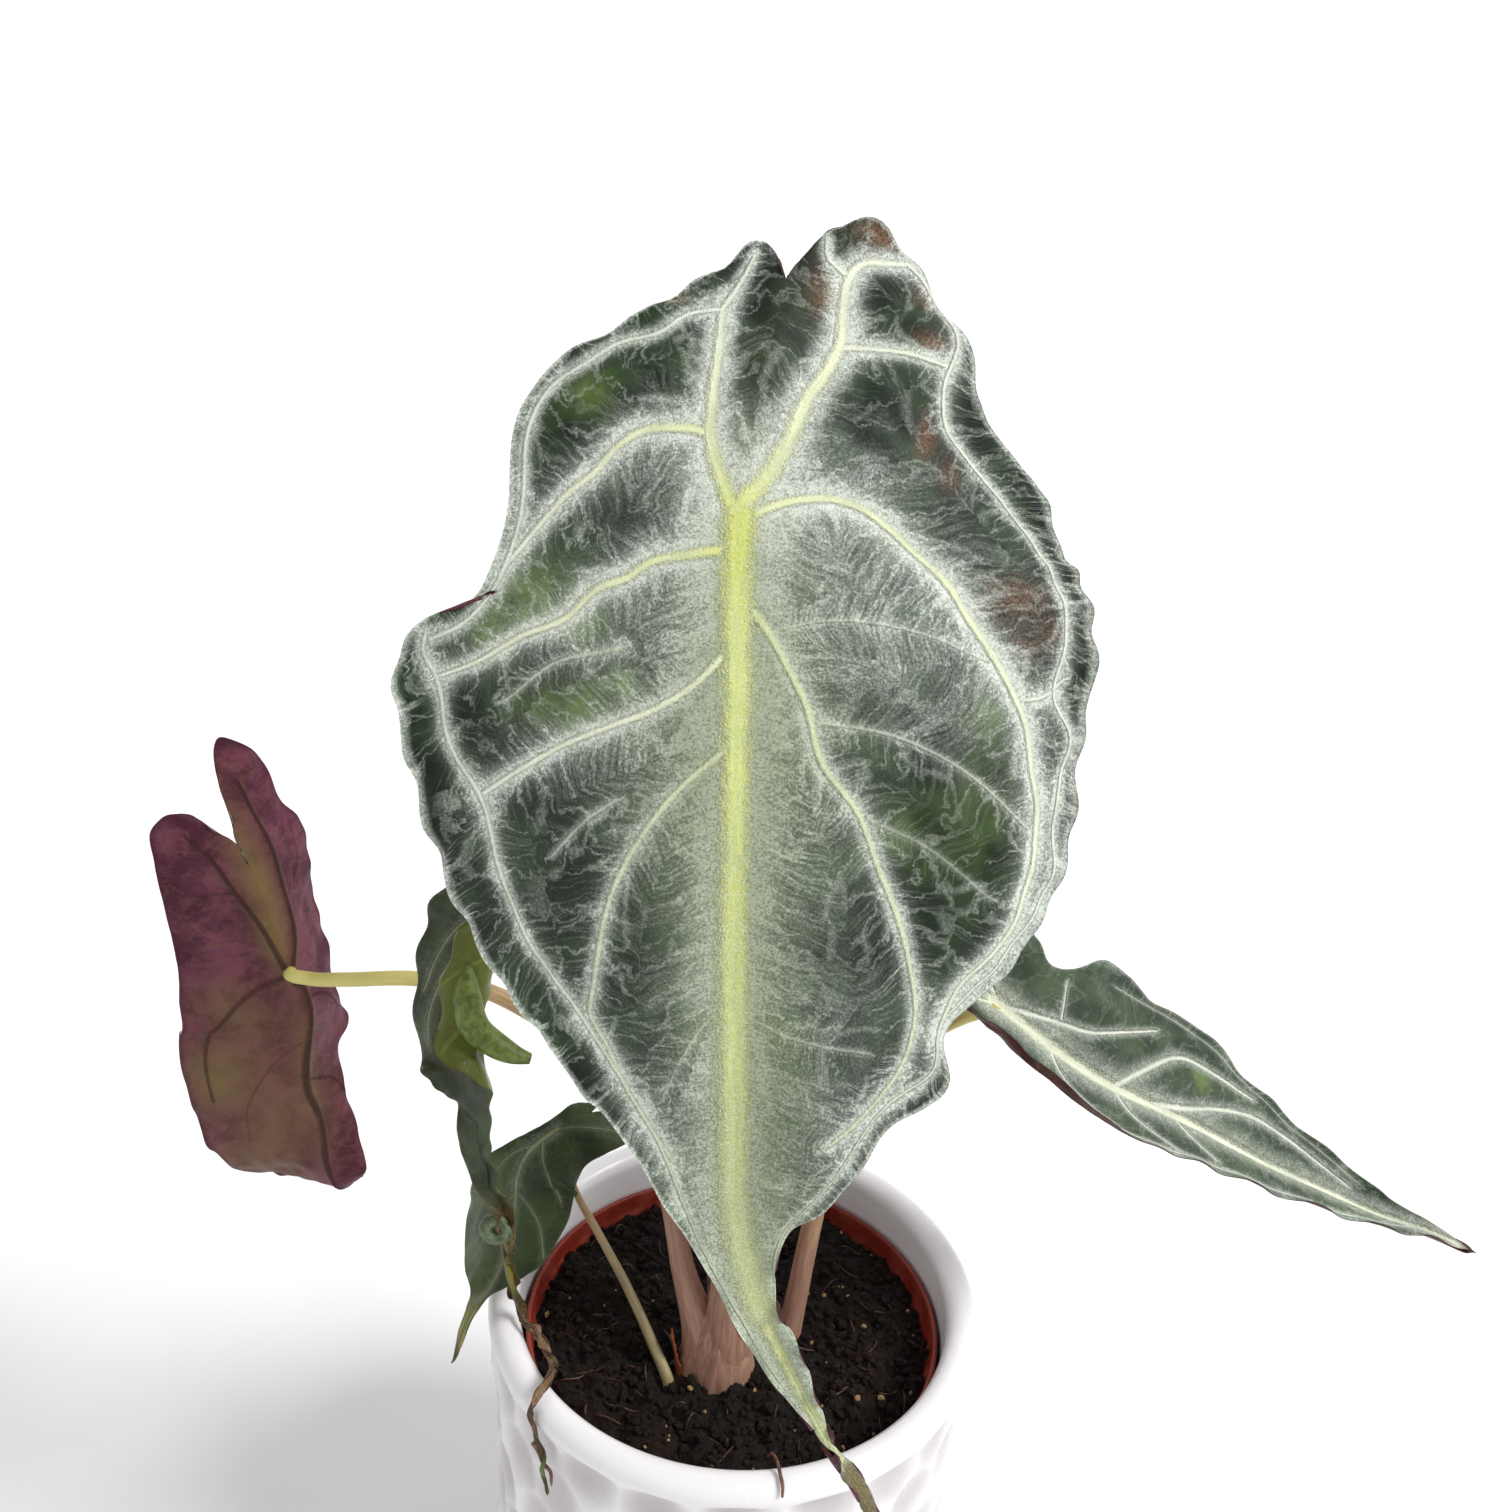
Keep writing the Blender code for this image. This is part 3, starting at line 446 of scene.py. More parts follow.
class Blade:
    """A leaf blade's surface, as a function of distance across and along in millimetres.

    midrib: points of the midrib curve, from above the lobes to the tip.
    joint: which of those points is the stalk's joint, where the distance along is zero.
    facing: rows of (along, x, y, z), the direction that the upper face looks in.
    folds: rows of (along, left fold, left roll, right fold, right roll), in degrees and
        degrees per millimetre; a fold lifts a side towards the upper face.
    """

    def __init__(self, midrib, joint, facing, folds):
        self.midrib = np.array(midrib, float)
        chord = chord_stations(self.midrib)
        fine = np.linspace(0.0, chord[-1], 2001)
        lengths = chord_stations(smooth_curve(chord, self.midrib, fine))
        self.stations = np.interp(chord, fine, lengths)
        self.stations -= self.stations[joint]
        self.facing = np.array(facing, float)
        self.folds = np.array(folds, float)

    def frame(self, along):
        """The midrib's point and its across and upward directions."""
        step = 0.5
        ahead = smooth_curve(self.stations, self.midrib, along + step)
        behind = smooth_curve(self.stations, self.midrib, along - step)
        forward = unit(ahead - behind)
        hint = smooth_curve(self.facing[:, 0], self.facing[:, 1:], along)
        upward = unit(hint - np.sum(hint * forward, axis=-1, keepdims=True) * forward)
        point = smooth_curve(self.stations, self.midrib, along)
        return point, np.cross(upward, forward), upward

    def surface(self, across, along, lift):
        """Point = midrib + across direction * run + upward direction * rise.

        Run and rise follow an arc that starts at the side's fold angle and turns by its roll
        for each millimetre. Lift is added square to that arc.
        """
        point, sideways, upward = self.frame(along)
        fold = smooth_curve(self.folds[:, 0], self.folds[:, 1:], along)
        right = across >= 0
        start = np.radians(np.where(right, fold[..., 2], fold[..., 0]))
        roll = np.radians(np.where(right, fold[..., 3], fold[..., 1]))
        roll = np.where(np.abs(roll) < 1e-5, 1e-5, roll)
        reach = np.abs(across)
        angle = start + roll * reach
        run = (np.sin(angle) - np.sin(start)) / roll - lift * np.sin(angle)
        rise = (np.cos(start) - np.cos(angle)) / roll + lift * np.cos(angle)
        run = np.where(right, run, -run)
        return point + sideways * run[..., None] + upward * rise[..., None]


class Veins:
    """A blade's veins in its flat (across, along) plane.

    Each vein is (points, half widths, halos, paleness, strength): the half width, the halo's
    reach and the paleness are given at the vein's start and end, the strength once.
    """

    def __init__(self, veins):
        self.runs = []
        self.looks = []
        for points, widths, halos, pale, strength in veins:
            stations = chord_stations(points)
            count = max(6, int(stations[-1] / 1.2))
            line = smooth_curve(stations, points, np.linspace(0, stations[-1], count))
            self.runs.append(line)
            self.looks.append((widths, halos, pale, strength))

    def measure(self, flat):
        """For each vein and point: distance along the vein, signed distance from it, share.

        The nearest foot is found on every straight piece of the vein at once.
        """
        along, away, share = [], [], []
        for line in self.runs:
            start = line[:-1]
            span = np.diff(line, axis=0)
            size = np.linalg.norm(span, axis=1)
            reach = np.concatenate(([0.0], np.cumsum(size)))
            offset = flat[:, None] - start[None]
            foot = np.clip(np.sum(offset * span, -1) / size ** 2, 0.0, 1.0)
            gap = offset - foot[..., None] * span
            squares = np.sum(gap ** 2, -1)
            nearest = np.argmin(squares, axis=1)
            rows = np.arange(len(flat))
            distance = np.sqrt(squares[rows, nearest])
            near = offset[rows, nearest]
            side = span[nearest, 0] * near[:, 1] - span[nearest, 1] * near[:, 0]
            here = reach[nearest] + foot[rows, nearest] * size[nearest]
            along.append(here)
            away.append(np.where(side < 0, -distance, distance))
            share.append(here / reach[-1])
        return np.array(along), np.array(away), np.array(share)

    def look(self, which, share):
        """One of the paired values at a share of each vein's length, a row for each vein."""
        pairs = np.array([look[which] for look in self.looks], float)
        return pairs[:, :1] * (1 - share) + pairs[:, 1:] * share

    def strength(self):
        """Each vein's strength as a column."""
        return np.array([look[3] for look in self.looks])[:, None]


def lofted_rows(left, right, rows, columns, spread):
    """Flat grid between two outlines that start at the notch and end at the tip.

    Each row runs from the left outline through the midrib to the right outline. The midrib's
    share of the way is the outline's share raised to spread, so rows fan out in the lobes.
    """
    share = np.linspace(0.0, 1.0, rows + 1)
    edges = []
    for outline in (left, right):
        outline = np.array(outline, float)
        stations = chord_stations(outline)
        edges.append(smooth_curve(stations / stations[-1], outline, share))
    notch = left[0][1]
    tip = left[-1][1]
    spine_along = notch + (tip - notch) * share ** spread
    spine = np.stack((left[0][0] * (1 - share) ** 4, spine_along), axis=-1)
    reach = np.linspace(0.0, 1.0, columns + 1)[:, None] ** 0.85
    left_side = spine[:, None] * (1 - reach) + edges[0][:, None] * reach
    right_side = spine[:, None] * (1 - reach) + edges[1][:, None] * reach
    grid = np.concatenate((left_side[:, :0:-1], right_side), axis=1)
    out = np.abs(np.linspace(-1.0, 1.0, 2 * columns + 1))[None] ** 0.85
    return grid, np.broadcast_to(out, grid.shape[:2])


def blade_faces(rows, count):
    """Faces of a closed blade whose first and last rows are single points.

    Points run through the upper side's rows and then the lower side's rows.
    """
    inner = np.arange((rows - 1) * count).reshape(rows - 1, count) + 1
    upper = np.vstack((np.zeros((1, count), int), inner, np.full((1, count), inner[-1, -1] + 1)))
    size = upper.max() + 1
    lower = upper + size
    quads = []
    triangles = []
    for layer, flip in ((upper, False), (lower, True)):
        body = np.stack((layer[1:-2, :-1], layer[2:-1, :-1], layer[2:-1, 1:], layer[1:-2, 1:]), -1)
        body = body.reshape(-1, 4)
        top = np.stack((layer[0, :-1], layer[1, :-1], layer[1, 1:]), -1)
        tip = np.stack((layer[-2, :-1], layer[-1, :-1], layer[-2, 1:]), -1)
        both = np.concatenate((top, tip))
        quads.append(body[:, ::-1] if flip else body)
        triangles.append(both[:, ::-1] if flip else both)
    for column, flip in ((0, True), (count - 1, False)):
        rim = np.stack(
            (upper[:-1, column], lower[:-1, column], lower[1:, column], upper[1:, column]), -1
        )
        quads.append(rim[:, ::-1] if flip else rim)
    return quads, triangles


QUILT_REACH = 6.5    # how far from a vein the blade has swollen to its full height
RIDGE_LIMIT = 2.0    # a vein wider than this is no higher
SIDE_REACH = 1.6     # a face farther than this from its vein lies on one side of it
VEIN_OFFSET = 41.0   # keeps the patterns of two veins apart


def make_blade(name, blade, outlines, veins, grid_size, spread, relief, materials, fields):
    """A closed blade: its surface with quilting between the veins, raised veins below.

    relief is (quilting, groove, flutter height, flutter length). Quilting is the product over
    the veins of one minus a bell of the distance, so it is zero on every vein. Flutter is a
    wave along the margin that fades inwards with the eighth power of the share across.
    fields names lists of spots that are stored for the shader.
    """
    rows, columns = grid_size
    quilting, groove, flutter, flutter_length = relief
    flat, out = lofted_rows(*outlines, rows, columns, spread)
    count = flat.shape[1]
    across, along = flat[..., 0], flat[..., 1]
    run = flat.reshape(-1, 2)
    station, away, share = veins.measure(run)
    width = veins.look(0, share)
    halo = veins.look(1, share)
    strength = veins.strength()
    swell = np.prod(1 - strength * np.exp(-(away / QUILT_REACH) ** 2), axis=0)
    ridge = strength * np.exp(-(away / (width * 1.1)) ** 2)
    sunk = np.max(ridge * np.minimum(width, RIDGE_LIMIT), axis=0)
    silver = 1 - np.prod(1 - strength * np.exp(-(np.abs(away) / halo) ** 1.5), axis=0)
    swell = swell.reshape(rows + 1, count)
    sunk = sunk.reshape(rows + 1, count)
    lift = quilting * swell * (1 + 0.5 * waves(across, along, 5, 19.0)) - groove * sunk
    lift += 0.35 * quilting * waves(across, along, 6, 7.0) * swell
    edge = np.linalg.norm(np.diff(flat[:, [0, -1]], axis=0), axis=-1)
    edge = np.concatenate((np.zeros((1, 2)), np.cumsum(edge, axis=0)))
    edge = np.where(across < 0, edge[:, :1], edge[:, 1:])
    wave = np.sin(2 * math.pi * edge / flutter_length + 1.3 * np.sin(edge / 17.0))
    lift += flutter * out ** 8 * wave * (0.6 + 0.4 * np.sin(edge / 23.0 + 1.0))
    middle = blade.surface(across, along, lift)
    slope_rows = np.gradient(middle, axis=0)
    slope_columns = np.gradient(middle, axis=1)
    normal = unit(np.cross(slope_rows, slope_columns))
    normal[0] = normal[1, count // 2]
    normal[-1] = normal[-2, count // 2]
    thin = settings("leaf").thickness * (1 - 0.6 * out ** 4)
    upper = middle + normal * (thin / 2)[..., None]
    lower = middle - normal * (thin / 2 + 0.9 * sunk)[..., None]
    quads, triangles = blade_faces(rows, count)

    def listed(values):
        """The grid's values in point order, its first and last rows once."""
        inner = values[1:-1].reshape((rows - 1) * count, *values.shape[2:])
        return np.concatenate((values[0, :1], inner, values[-1, :1]))

    def both_sides(values):
        """The grid's values in point order, once for each side."""
        return np.concatenate((listed(values), listed(values)))

    points = np.concatenate((listed(upper), listed(lower)))
    fours = np.concatenate(quads)
    threes = np.concatenate(triangles)
    four_sides = np.concatenate([np.full(len(q), n) for q, n in zip(quads, (0, 1, 1, 1))])
    three_sides = np.concatenate([np.full(len(t), n) for t, n in zip(triangles, (0, 1))])
    sides = np.concatenate((four_sides, three_sides))
    item = make_piece(name, points, [fours, threes], materials, (name,), face_material=sides)
    mesh = item.data
    both = both_sides(flat)
    corner = corner_vertices(mesh)
    sizes = np.empty(len(mesh.polygons), np.int32)
    mesh.polygons.foreach_get("loop_total", sizes)
    owner = np.repeat(np.arange(len(sizes)), sizes)
    score = (np.abs(away) - width) / halo - 0.1 * strength

    def by_point(values):
        """A row for each vein of a value at every point of both sides."""
        return np.stack([both_sides(row) for row in values.reshape(-1, rows + 1, count)])

    score = by_point(score)
    total = np.stack([np.bincount(owner, row[corner]) for row in score])
    chosen = np.argmin(total, axis=0)[owner]
    picked = [by_point(values)[chosen, corner] for values in (station, away, width)]
    starts = np.concatenate(([0], np.cumsum(sizes)[:-1]))
    far = np.minimum.reduceat(np.abs(picked[1]), starts)[owner] > SIDE_REACH
    side = np.sign(np.add.reduceat(picked[1], starts))[owner]
    picked[1] = np.where(far, np.abs(picked[1]) * np.where(side == 0, 1, side), picked[1])
    pale = by_point(veins.look(2, share))[chosen, corner]
    firm = strength[:, 0][chosen]
    store_uv(mesh, "Vein", np.stack((picked[0] + chosen * VEIN_OFFSET, picked[1]), -1))
    store_uv(mesh, "Look", np.stack((picked[2], pale), -1))
    store_uv(mesh, "Flat", both[corner])
    store(mesh, "firm", firm, domain="CORNER")
    store(mesh, "silver", both_sides(silver.reshape(rows + 1, count)))
    store(mesh, "out", both_sides(out))
    for field, places in fields.items():
        store(mesh, field, both_sides(spots(places, across, along)))
    return item


def spots(places, across, along):
    """A field of soft oval spots: (across, along, across radius, along radius, amount)."""
    total = np.zeros(across.shape)
    for x, y, wide, high, amount in places:
        total += amount * np.exp(-((across - x) / wide) ** 2 - ((along - y) / high) ** 2)
    return np.clip(total, 0.0, 1.0)


# ---- finishes of the blades

def vein_pattern(shader):
    """The measures that every blade's finish is built from.

    Returns core (1 on a vein), fringe (1 beside it, fading outwards), hairs (fine lines square
    to the nearest vein), net (thin lines between the veins), the nearest vein's paleness, the
    distance from it and the distance along it.
    """
    station, away = shader.uv("Vein")
    width, pale = shader.uv("Look")
    place = shader.place()
    distance = shader.math("ABSOLUTE", away)
    wobble = shader.times_add(shader.noise(place, 0.5, 2.0), 0.7, 0.8)
    edge = shader.math("DIVIDE", distance, shader.times(width, wobble))
    edge = shader.times_add(shader.noise(place, 2.2, 2.0), 0.9, edge)
    firm = shader.value("firm")
    strength = shader.math("POWER", firm, 1.6)
    core = shader.times(shader.step(edge, 1.8, 0.75), strength)
    fringe = shader.times(shader.step(edge, 4.4, 1.2), strength)
    slant = shader.times_add(distance, -0.4, station)
    drift = shader.times_add(shader.noise(place, 0.08, 2.0), 7.0, slant)
    drift = shader.times_add(shader.noise(place, 0.4, 2.0), 0.8, drift)
    across = shader.times(distance, 0.05)
    hair_place = shader.vector(drift, across, shader.times(firm, 3.0))
    hairs = shader.noise(hair_place, 1.5, 4.0, 0.7)
    broad = shader.vector(drift, shader.times(distance, 0.16), 9.0)
    broad = shader.noise(broad, 0.2, 3.0, 0.6)
    hairs = shader.times_add(shader.math("SUBTRACT", broad, 0.5), 0.55, hairs)
    bend = shader.times_add(shader.noise(place, 0.3, 3.0), 7.0, drift)
    cell = shader.cell_edge(shader.vector(bend, shader.times(away, 0.4), 0.0), 0.17)
    net = shader.step(cell, 0.07, 0.0)
    return core, fringe, hairs, net, pale, distance, station


def silver_face(name, ground, ground_light, roughness=0.36, silver_gain=1.0, sage=None,
                vein_tone=None, fade=None, gloss=0.14):
    """The upper face: a dark glossy ground, silver frost and hairs, and pale veins.

    vein_tone tints the veins; fade is the two distances along between which the veins dull.
    """
    setting = settings("leaf")
    shader = Shader(name, roughness, specular=gloss)
    core, fringe, hairs, net, pale, distance, station = vein_pattern(shader)
    place = shader.place()
    silver = shader.value("silver")
    haze = shader.value("haze")
    cloud = shader.noise(place, 0.07, 4.0, 0.6)
    grain = shader.noise(place, 1.9, 4.0, 0.9)
    frost = shader.step(grain, 0.42, 0.62)
    base = shader.mix(shader.step(cloud, 0.42, 0.62), ground, ground_light)
    patch = shader.times(shader.value("patch"), shader.step(cloud, 0.3, 0.6))
    base = shader.mix(patch, base, setting.patch)
    scar = shader.times(shader.value("scar"), shader.step(grain, 0.4, 0.55))
    base = shader.mix(scar, base, setting.scar)
    yolk = shader.value("yolk")
    base = shader.mix(shader.times(yolk, 0.6), base, srgb(150, 140, 40))
    streak = shader.step(hairs, 0.5, 0.66)
    veil = shader.times(shader.step(hairs, 0.36, 0.66, 0.4, 1.0), haze)
    body = shader.times(shader.math("POWER", silver, 3.0), 0.9)
    body = shader.times_add(veil, 0.62, body)
    lines = shader.times(streak, shader.times_add(silver, 0.26, 0.06))
    web = shader.times(net, shader.times_add(silver, 0.4, 0.16))
    rim = shader.times(shader.step(shader.value("out"), 0.9, 1.0), streak)
    total = shader.math("ADD", shader.math("ADD", body, lines), web)
    total = shader.times_add(rim, 0.45, total)
    total = shader.math("ADD", total, shader.step(shader.value("out"), 0.965, 0.995, 0.0, 0.6))
    total = shader.times(total, shader.times_add(frost, 0.95, 0.4))
    total = shader.times(total, silver_gain, clamp=True)
    warm = shader.value("warm")
    tint = shader.mix(warm, setting.silver, sage or setting.sage)
    base = shader.mix(shader.times(warm, 0.3), base, srgb(96, 116, 72))
    base = shader.mix(total, base, tint)
    fuzz = shader.times(fringe, shader.step(grain, 0.4, 0.6, 0.25, 1.0))
    fuzz = shader.times(fuzz, shader.times_add(warm, -0.45, 0.75), clamp=True)
    base = shader.mix(shader.times(fuzz, silver_gain, clamp=True), base, srgb(232, 238, 226))
    vein = shader.mix(yolk, setting.vein_green, srgb(206, 214, 70))
    vein = shader.mix(pale, vein, setting.vein_white)
    if vein_tone:
        vein = shader.mix(0.85, vein, vein_tone)
    if fade:
        dull = shader.step(shader.uv("Flat")[1], *fade, 0.0, 0.65)
        vein = shader.mix(dull, vein, srgb(152, 158, 104))
    lengthwise = shader.vector(shader.times(station, 0.12), distance, 0.0)
    fibre = shader.noise(lengthwise, 0.9, 3.0, 0.65)
    vein = shader.mix(shader.step(fibre, 0.65, 0.35, 0.0, 0.35), vein, setting.sage)
    vein = shader.mix(shader.times(frost, 0.35 * silver_gain), vein, srgb(246, 248, 226))
    base = shader.mix(shader.times(core, 0.95), base, vein)
    dried = shader.step(shader.value("scar"), 0.8, 1.0, 0.0, 0.85)
    base = shader.mix(dried, base, shader.mix(frost, srgb(92, 72, 52), srgb(128, 112, 78)))
    rough = shader.times_add(total, 0.22, roughness, clamp=True)
    height = shader.times_add(streak, 0.3, shader.times(grain, 0.8))
    height = shader.times_add(core, 6.0, height)
    shader.bump(height, 0.0002, 0.8)
    return shader.finish(base, rough)


def plum_face(name, dark, light, vein_colour, olive, roughness=0.5):
    """The underside: mottled plum with olive areas, dark veins and a paler net."""
    shader = Shader(name, roughness, specular=0.16)
    core, _, hairs, net, *_ = vein_pattern(shader)
    place = shader.place()
    cloud = shader.noise(place, 0.11, 4.0, 0.65, 0.4)
    grain = shader.noise(place, 1.9, 3.0, 0.7)
    base = shader.mix(shader.step(cloud, 0.36, 0.66), dark, light)
    green = shader.times(shader.value("olive"), shader.step(cloud, 0.25, 0.6, 0.75, 1.0))
    base = shader.mix(green, base, olive)
    mesh = shader.times(shader.step(hairs, 0.5, 0.85), 0.4)
    mesh = shader.times_add(net, 0.3, mesh)
    base = shader.mix(mesh, base, shader.mix(0.5, olive, light))
    base = shader.mix(shader.step(shader.value("out"), 0.93, 1.0, 0.0, 0.5), base, dark)
    base = shader.mix(shader.times(grain, 0.25), base, dark)
    base = shader.mix(shader.times(core, 0.85), base, vein_colour)
    shader.bump(shader.times_add(net, 0.6, grain), 0.0002, 0.5)
    return shader.finish(base)


def leaf_finishes(prefix, **changes):
    """The upper and lower finish of a silver-veined blade."""
    setting = settings("leaf")
    upper = silver_face(prefix + "_upper", setting.ground, setting.ground_light, **changes)
    lower = plum_face(
        prefix + "_lower", setting.plum, setting.plum_light,
        srgb(54, 30, 24), setting.olive,
    )
    return [upper, lower]


# ---- the blades

def from_rim(*places):
    """Points given from the pot's axis and from the height of its rim."""
    return [(x, y, RIM_HEIGHT + rise) for x, y, rise in places]


def beside_rim(*places):
    """Points by direction in degrees, distance outside the rim's middle, and rise."""
    radius = RIM_RADIUS - settings("pot").wall / 2
    points = []
    for angle, outward, rise in places:
        turn = math.radians(angle)
        out = radius + outward
        points.append((out * math.cos(turn), out * math.sin(turn), RIM_HEIGHT + rise))
    return points


def main_blade():
    """The big shield-shaped blade that hangs in front of the pot."""
    midrib = from_rim(
        (-4, -20, 300), (-7, -36, 283), (-11.5, -62, 247.5), (-9.5, -77, 217), (-6.5, -89, 181),
        (-2.5, -99, 142), (0, -105, 115), (5, -108, 97), (13, -110, 79), (21, -110.5, 63.5),
        (29, -110.5, 50), (35, -111, 38),
    )
    facing = [
        (-60, 0, -1, 0.55), (0, 0, -1, 0.48), (100, 0, -1, 0.3), (150, 0.05, -1, 0.1),
        (185, 0.3, -1, 0), (193, 0.5, -1, 0), (201, 1, -0.3, 0.3), (211, 0.6, -0.9, 0.5),
        (230, 0.5, -1, 0),
    ]
    folds = [
        (-60, -4, -0.25, -4, -0.25), (60, -4, -0.25, -4, -0.25), (150, 4, -0.3, 4, -0.3),
        (190, 10, 0.2, 10, 0.2), (230, 10, 0, 10, 0),
    ]
    return Blade(midrib, 2, facing, folds)


MAIN_LEFT = [
    (0, -50), (-5, -58.5), (-16, -48), (-31, -35), (-44, -23), (-47, -13), (-46, 0), (-54, 15),
    (-64, 17.5), (-70, 26), (-68, 41), (-62, 62), (-55, 78), (-37, 105), (-18, 131), (-10, 146),
    (-6, 165), (-4, 177), (-1.6, 189), (-0.7, 196), (-1.7, 205), (-1.6, 214), (0, 226),
]
MAIN_RIGHT = [
    (0, -50), (5, -62), (12, -69), (22, -65), (31, -55), (40, -46), (42, -37), (50, -28),
    (58, -22), (63, -11), (70, 6), (73, 25), (70, 42), (65, 73), (55, 90), (40, 104),
    (41, 112), (29, 119), (18, 135), (7, 144), (3, 155), (2.5, 162), (4, 170), (3, 179),
    (1.8, 189), (0.7, 196), (1.9, 205), (1.7, 214), (0, 226),
]

# Each vein: points, half widths, halo reaches, paleness (each from start to end), strength.
MAIN_VEINS = [
    ([(0, -1), (0, 34), (-1, 76), (-2, 113), (-2, 134), (0, 180), (0, 224)],
     (3.2, 1.0), (11, 3), (0.0, 0.0), 1.0),
    ([(0, 34), (-1, 76), (-2, 113), (-2, 134), (-1, 160)], (2.4, 3.4), (9, 6), (0.0, 0.0), 0.9),
    ([(-2, -3), (-8, -16), (-9, -24), (-10, -34), (-11, -42)],
     (1.7, 0.9), (5, 4), (0.1, 0.9), 1.0),
    ([(-11, -42), (-9, -47), (-7, -55)], (0.8, 0.4), (3.5, 2.5), (0.9, 1.0), 0.9),
    ([(-11, -42), (-17, -40), (-22, -35), (-29, -32), (-35, -27), (-41, -22), (-44, -13),
      (-43, -1), (-46, 9), (-54, 18), (-62, 21)], (0.6, 0.5), (3.0, 2.5), (1.0, 1.0), 0.85),
    ([(-8, -16), (-12, -16.5), (-17, -16), (-21, -15), (-26, -11), (-29, -7), (-34, -3),
      (-38, 1), (-43, 6), (-47, 10)], (1.1, 0.5), (7, 4), (0.3, 1.0), 1.0),
    ([(-4, 6), (-10, 7), (-16, 8), (-21, 11), (-27, 13), (-33, 18), (-42, 21), (-52, 26),
      (-61, 29)], (1.1, 0.5), (6, 4), (0.1, 1.0), 1.0),
    ([(-22, 24), (-36, 27), (-45, 34)], (0.5, 0.3), (3, 2.5), (0.6, 0.9), 0.5),
    ([(-2, 25), (-8, 31), (-16, 36), (-24, 39), (-34, 43), (-43, 48), (-51, 53)],
     (0.8, 0.6), (6, 4.5), (0.5, 1.0), 0.95),
    ([(-23, 53), (-29, 57), (-36, 64)], (0.4, 0.3), (3, 2), (0.8, 1.0), 0.5),
    ([(-3, 44), (-12, 52), (-19, 61), (-24, 70), (-29, 90), (-30, 95), (-27, 101), (-23, 111),
      (-18, 120), (-14, 126)], (0.7, 0.5), (5, 3.5), (0.35, 0.8), 0.75),
    ([(-63, 20), (-64, 23), (-61, 28), (-59, 39), (-57, 45), (-51, 54), (-48, 66), (-42, 81),
      (-33, 94), (-24, 109), (-14, 129), (-8.5, 146), (-5, 160), (-3, 176)],
     (0.6, 0.3), (3.5, 2.5), (1.0, 0.9), 0.85),
    ([(-1, -2), (4, -9), (7, -17), (9, -27), (12, -35), (13, -40), (12, -49), (12, -55),
      (14, -59), (19, -61), (23, -62)], (2.1, 0.8), (5.5, 4), (0.15, 1.0), 1.0),
    ([(12, -55), (10, -56), (7, -58), (6, -62)], (0.7, 0.4), (3, 2), (1.0, 1.0), 0.8),
    ([(13, -39), (21, -41), (27, -42), (35, -42)], (0.8, 0.5), (4, 3), (0.9, 1.0), 0.95),
    ([(23, -62), (30, -56), (36, -48), (35, -37), (37, -29), (42, -24), (52, -15), (59, -6),
      (64, 6), (67, 20), (64, 33), (67, 42), (64, 56), (63, 72), (52, 89), (39, 102),
      (38, 109), (28, 115), (16, 132), (6, 144), (2.4, 158)],
     (0.5, 0.3), (3.5, 2.5), (1.0, 1.0), 0.85),
    ([(2, -1), (7, -4), (12, -6), (18, -7), (23, -6), (29, -2), (34, 3), (40, 9), (46, 19),
      (52, 28), (56, 35), (58, 42), (59, 50), (60, 59), (59, 68), (57, 76), (54, 83), (42, 95),
      (39, 102)], (1.1, 0.5), (8, 4), (0.35, 1.0), 1.0),
    ([(56, 34), (62, 33), (66, 30)], (0.5, 0.4), (3, 2), (1.0, 1.0), 0.8),
    ([(2, 16), (5, 20), (9, 27), (13, 35), (16, 46), (23, 56), (27, 67), (30, 75), (33, 87),
      (34, 99), (31, 108), (24, 116), (17, 122)], (0.8, 0.5), (5, 3.5), (0.2, 0.6), 0.8),
    ([(3, 22), (18, 19), (34, 21), (50, 27)], (0.3, 0.3), (3.5, 3), (0.7, 0.9), 0.45),
    ([(14, 38), (30, 41), (45, 49), (58, 61)], (0.35, 0.3), (3.5, 3), (0.7, 1.0), 0.5),
    ([(22, 56), (36, 63), (50, 75)], (0.3, 0.3), (3, 2.5), (0.7, 1.0), 0.35),
    ([(-1, 90), (-9, 99), (-16, 112)], (0.3, 0.3), (4, 3), (0.5, 0.8), 0.4),
    ([(0, 95), (12, 101), (24, 104)], (0.3, 0.3), (4, 3), (0.5, 0.8), 0.4),
]
MAIN_HAZE = [
    (0, 25, 18, 40, 0.75), (0, 75, 12, 45, 0.6), (0, 122, 12, 28, 0.55), (22, 10, 26, 15, 0.9),
    (32, 30, 20, 10, 0.5), (-22, 20, 22, 12, 0.5), (-20, 44, 22, 8, 0.45), (-10, 60, 14, 16, 0.4),
    (-16, -8, 14, 6, 0.5), (22, -14, 14, 8, 0.4), (45, 40, 12, 8, 0.3), (12, 60, 12, 20, 0.45),
    (0, 150, 14, 30, 0.5), (0, 190, 8, 30, 0.75), (-45, 70, 12, 30, 0.15), (20, 95, 12, 8, 0.3),
    (-16, 124, 10, 24, 0.6), (18, 118, 12, 14, 0.6), (0, 165, 14, 28, 0.5),
]
MAIN_WARM = [
    (0, 20, 9, 30, 0.7), (0, 70, 11, 50, 0.8), (0, 120, 12, 40, 0.8), (0, 180, 12, 50, 0.7),
    (14, 40, 12, 30, 0.45), (-14, 50, 12, 30, 0.45),
]
MAIN_PATCHES = [
    (-41, 15, 9, 6, 0.9), (-46, 22, 8, 5, 0.7), (-33, 34, 9, 6, 0.9), (-33, -21, 5, 4, 0.9),
    (-31, 19, 6, 4, 0.8), (-22, 31, 3, 3, 0.9), (49, 38, 4, 3, 0.7), (32, 62, 8, 6, 0.35),
    (-10, -30, 4, 5, 0.4), (50, 55, 10, 10, 0.3),
]
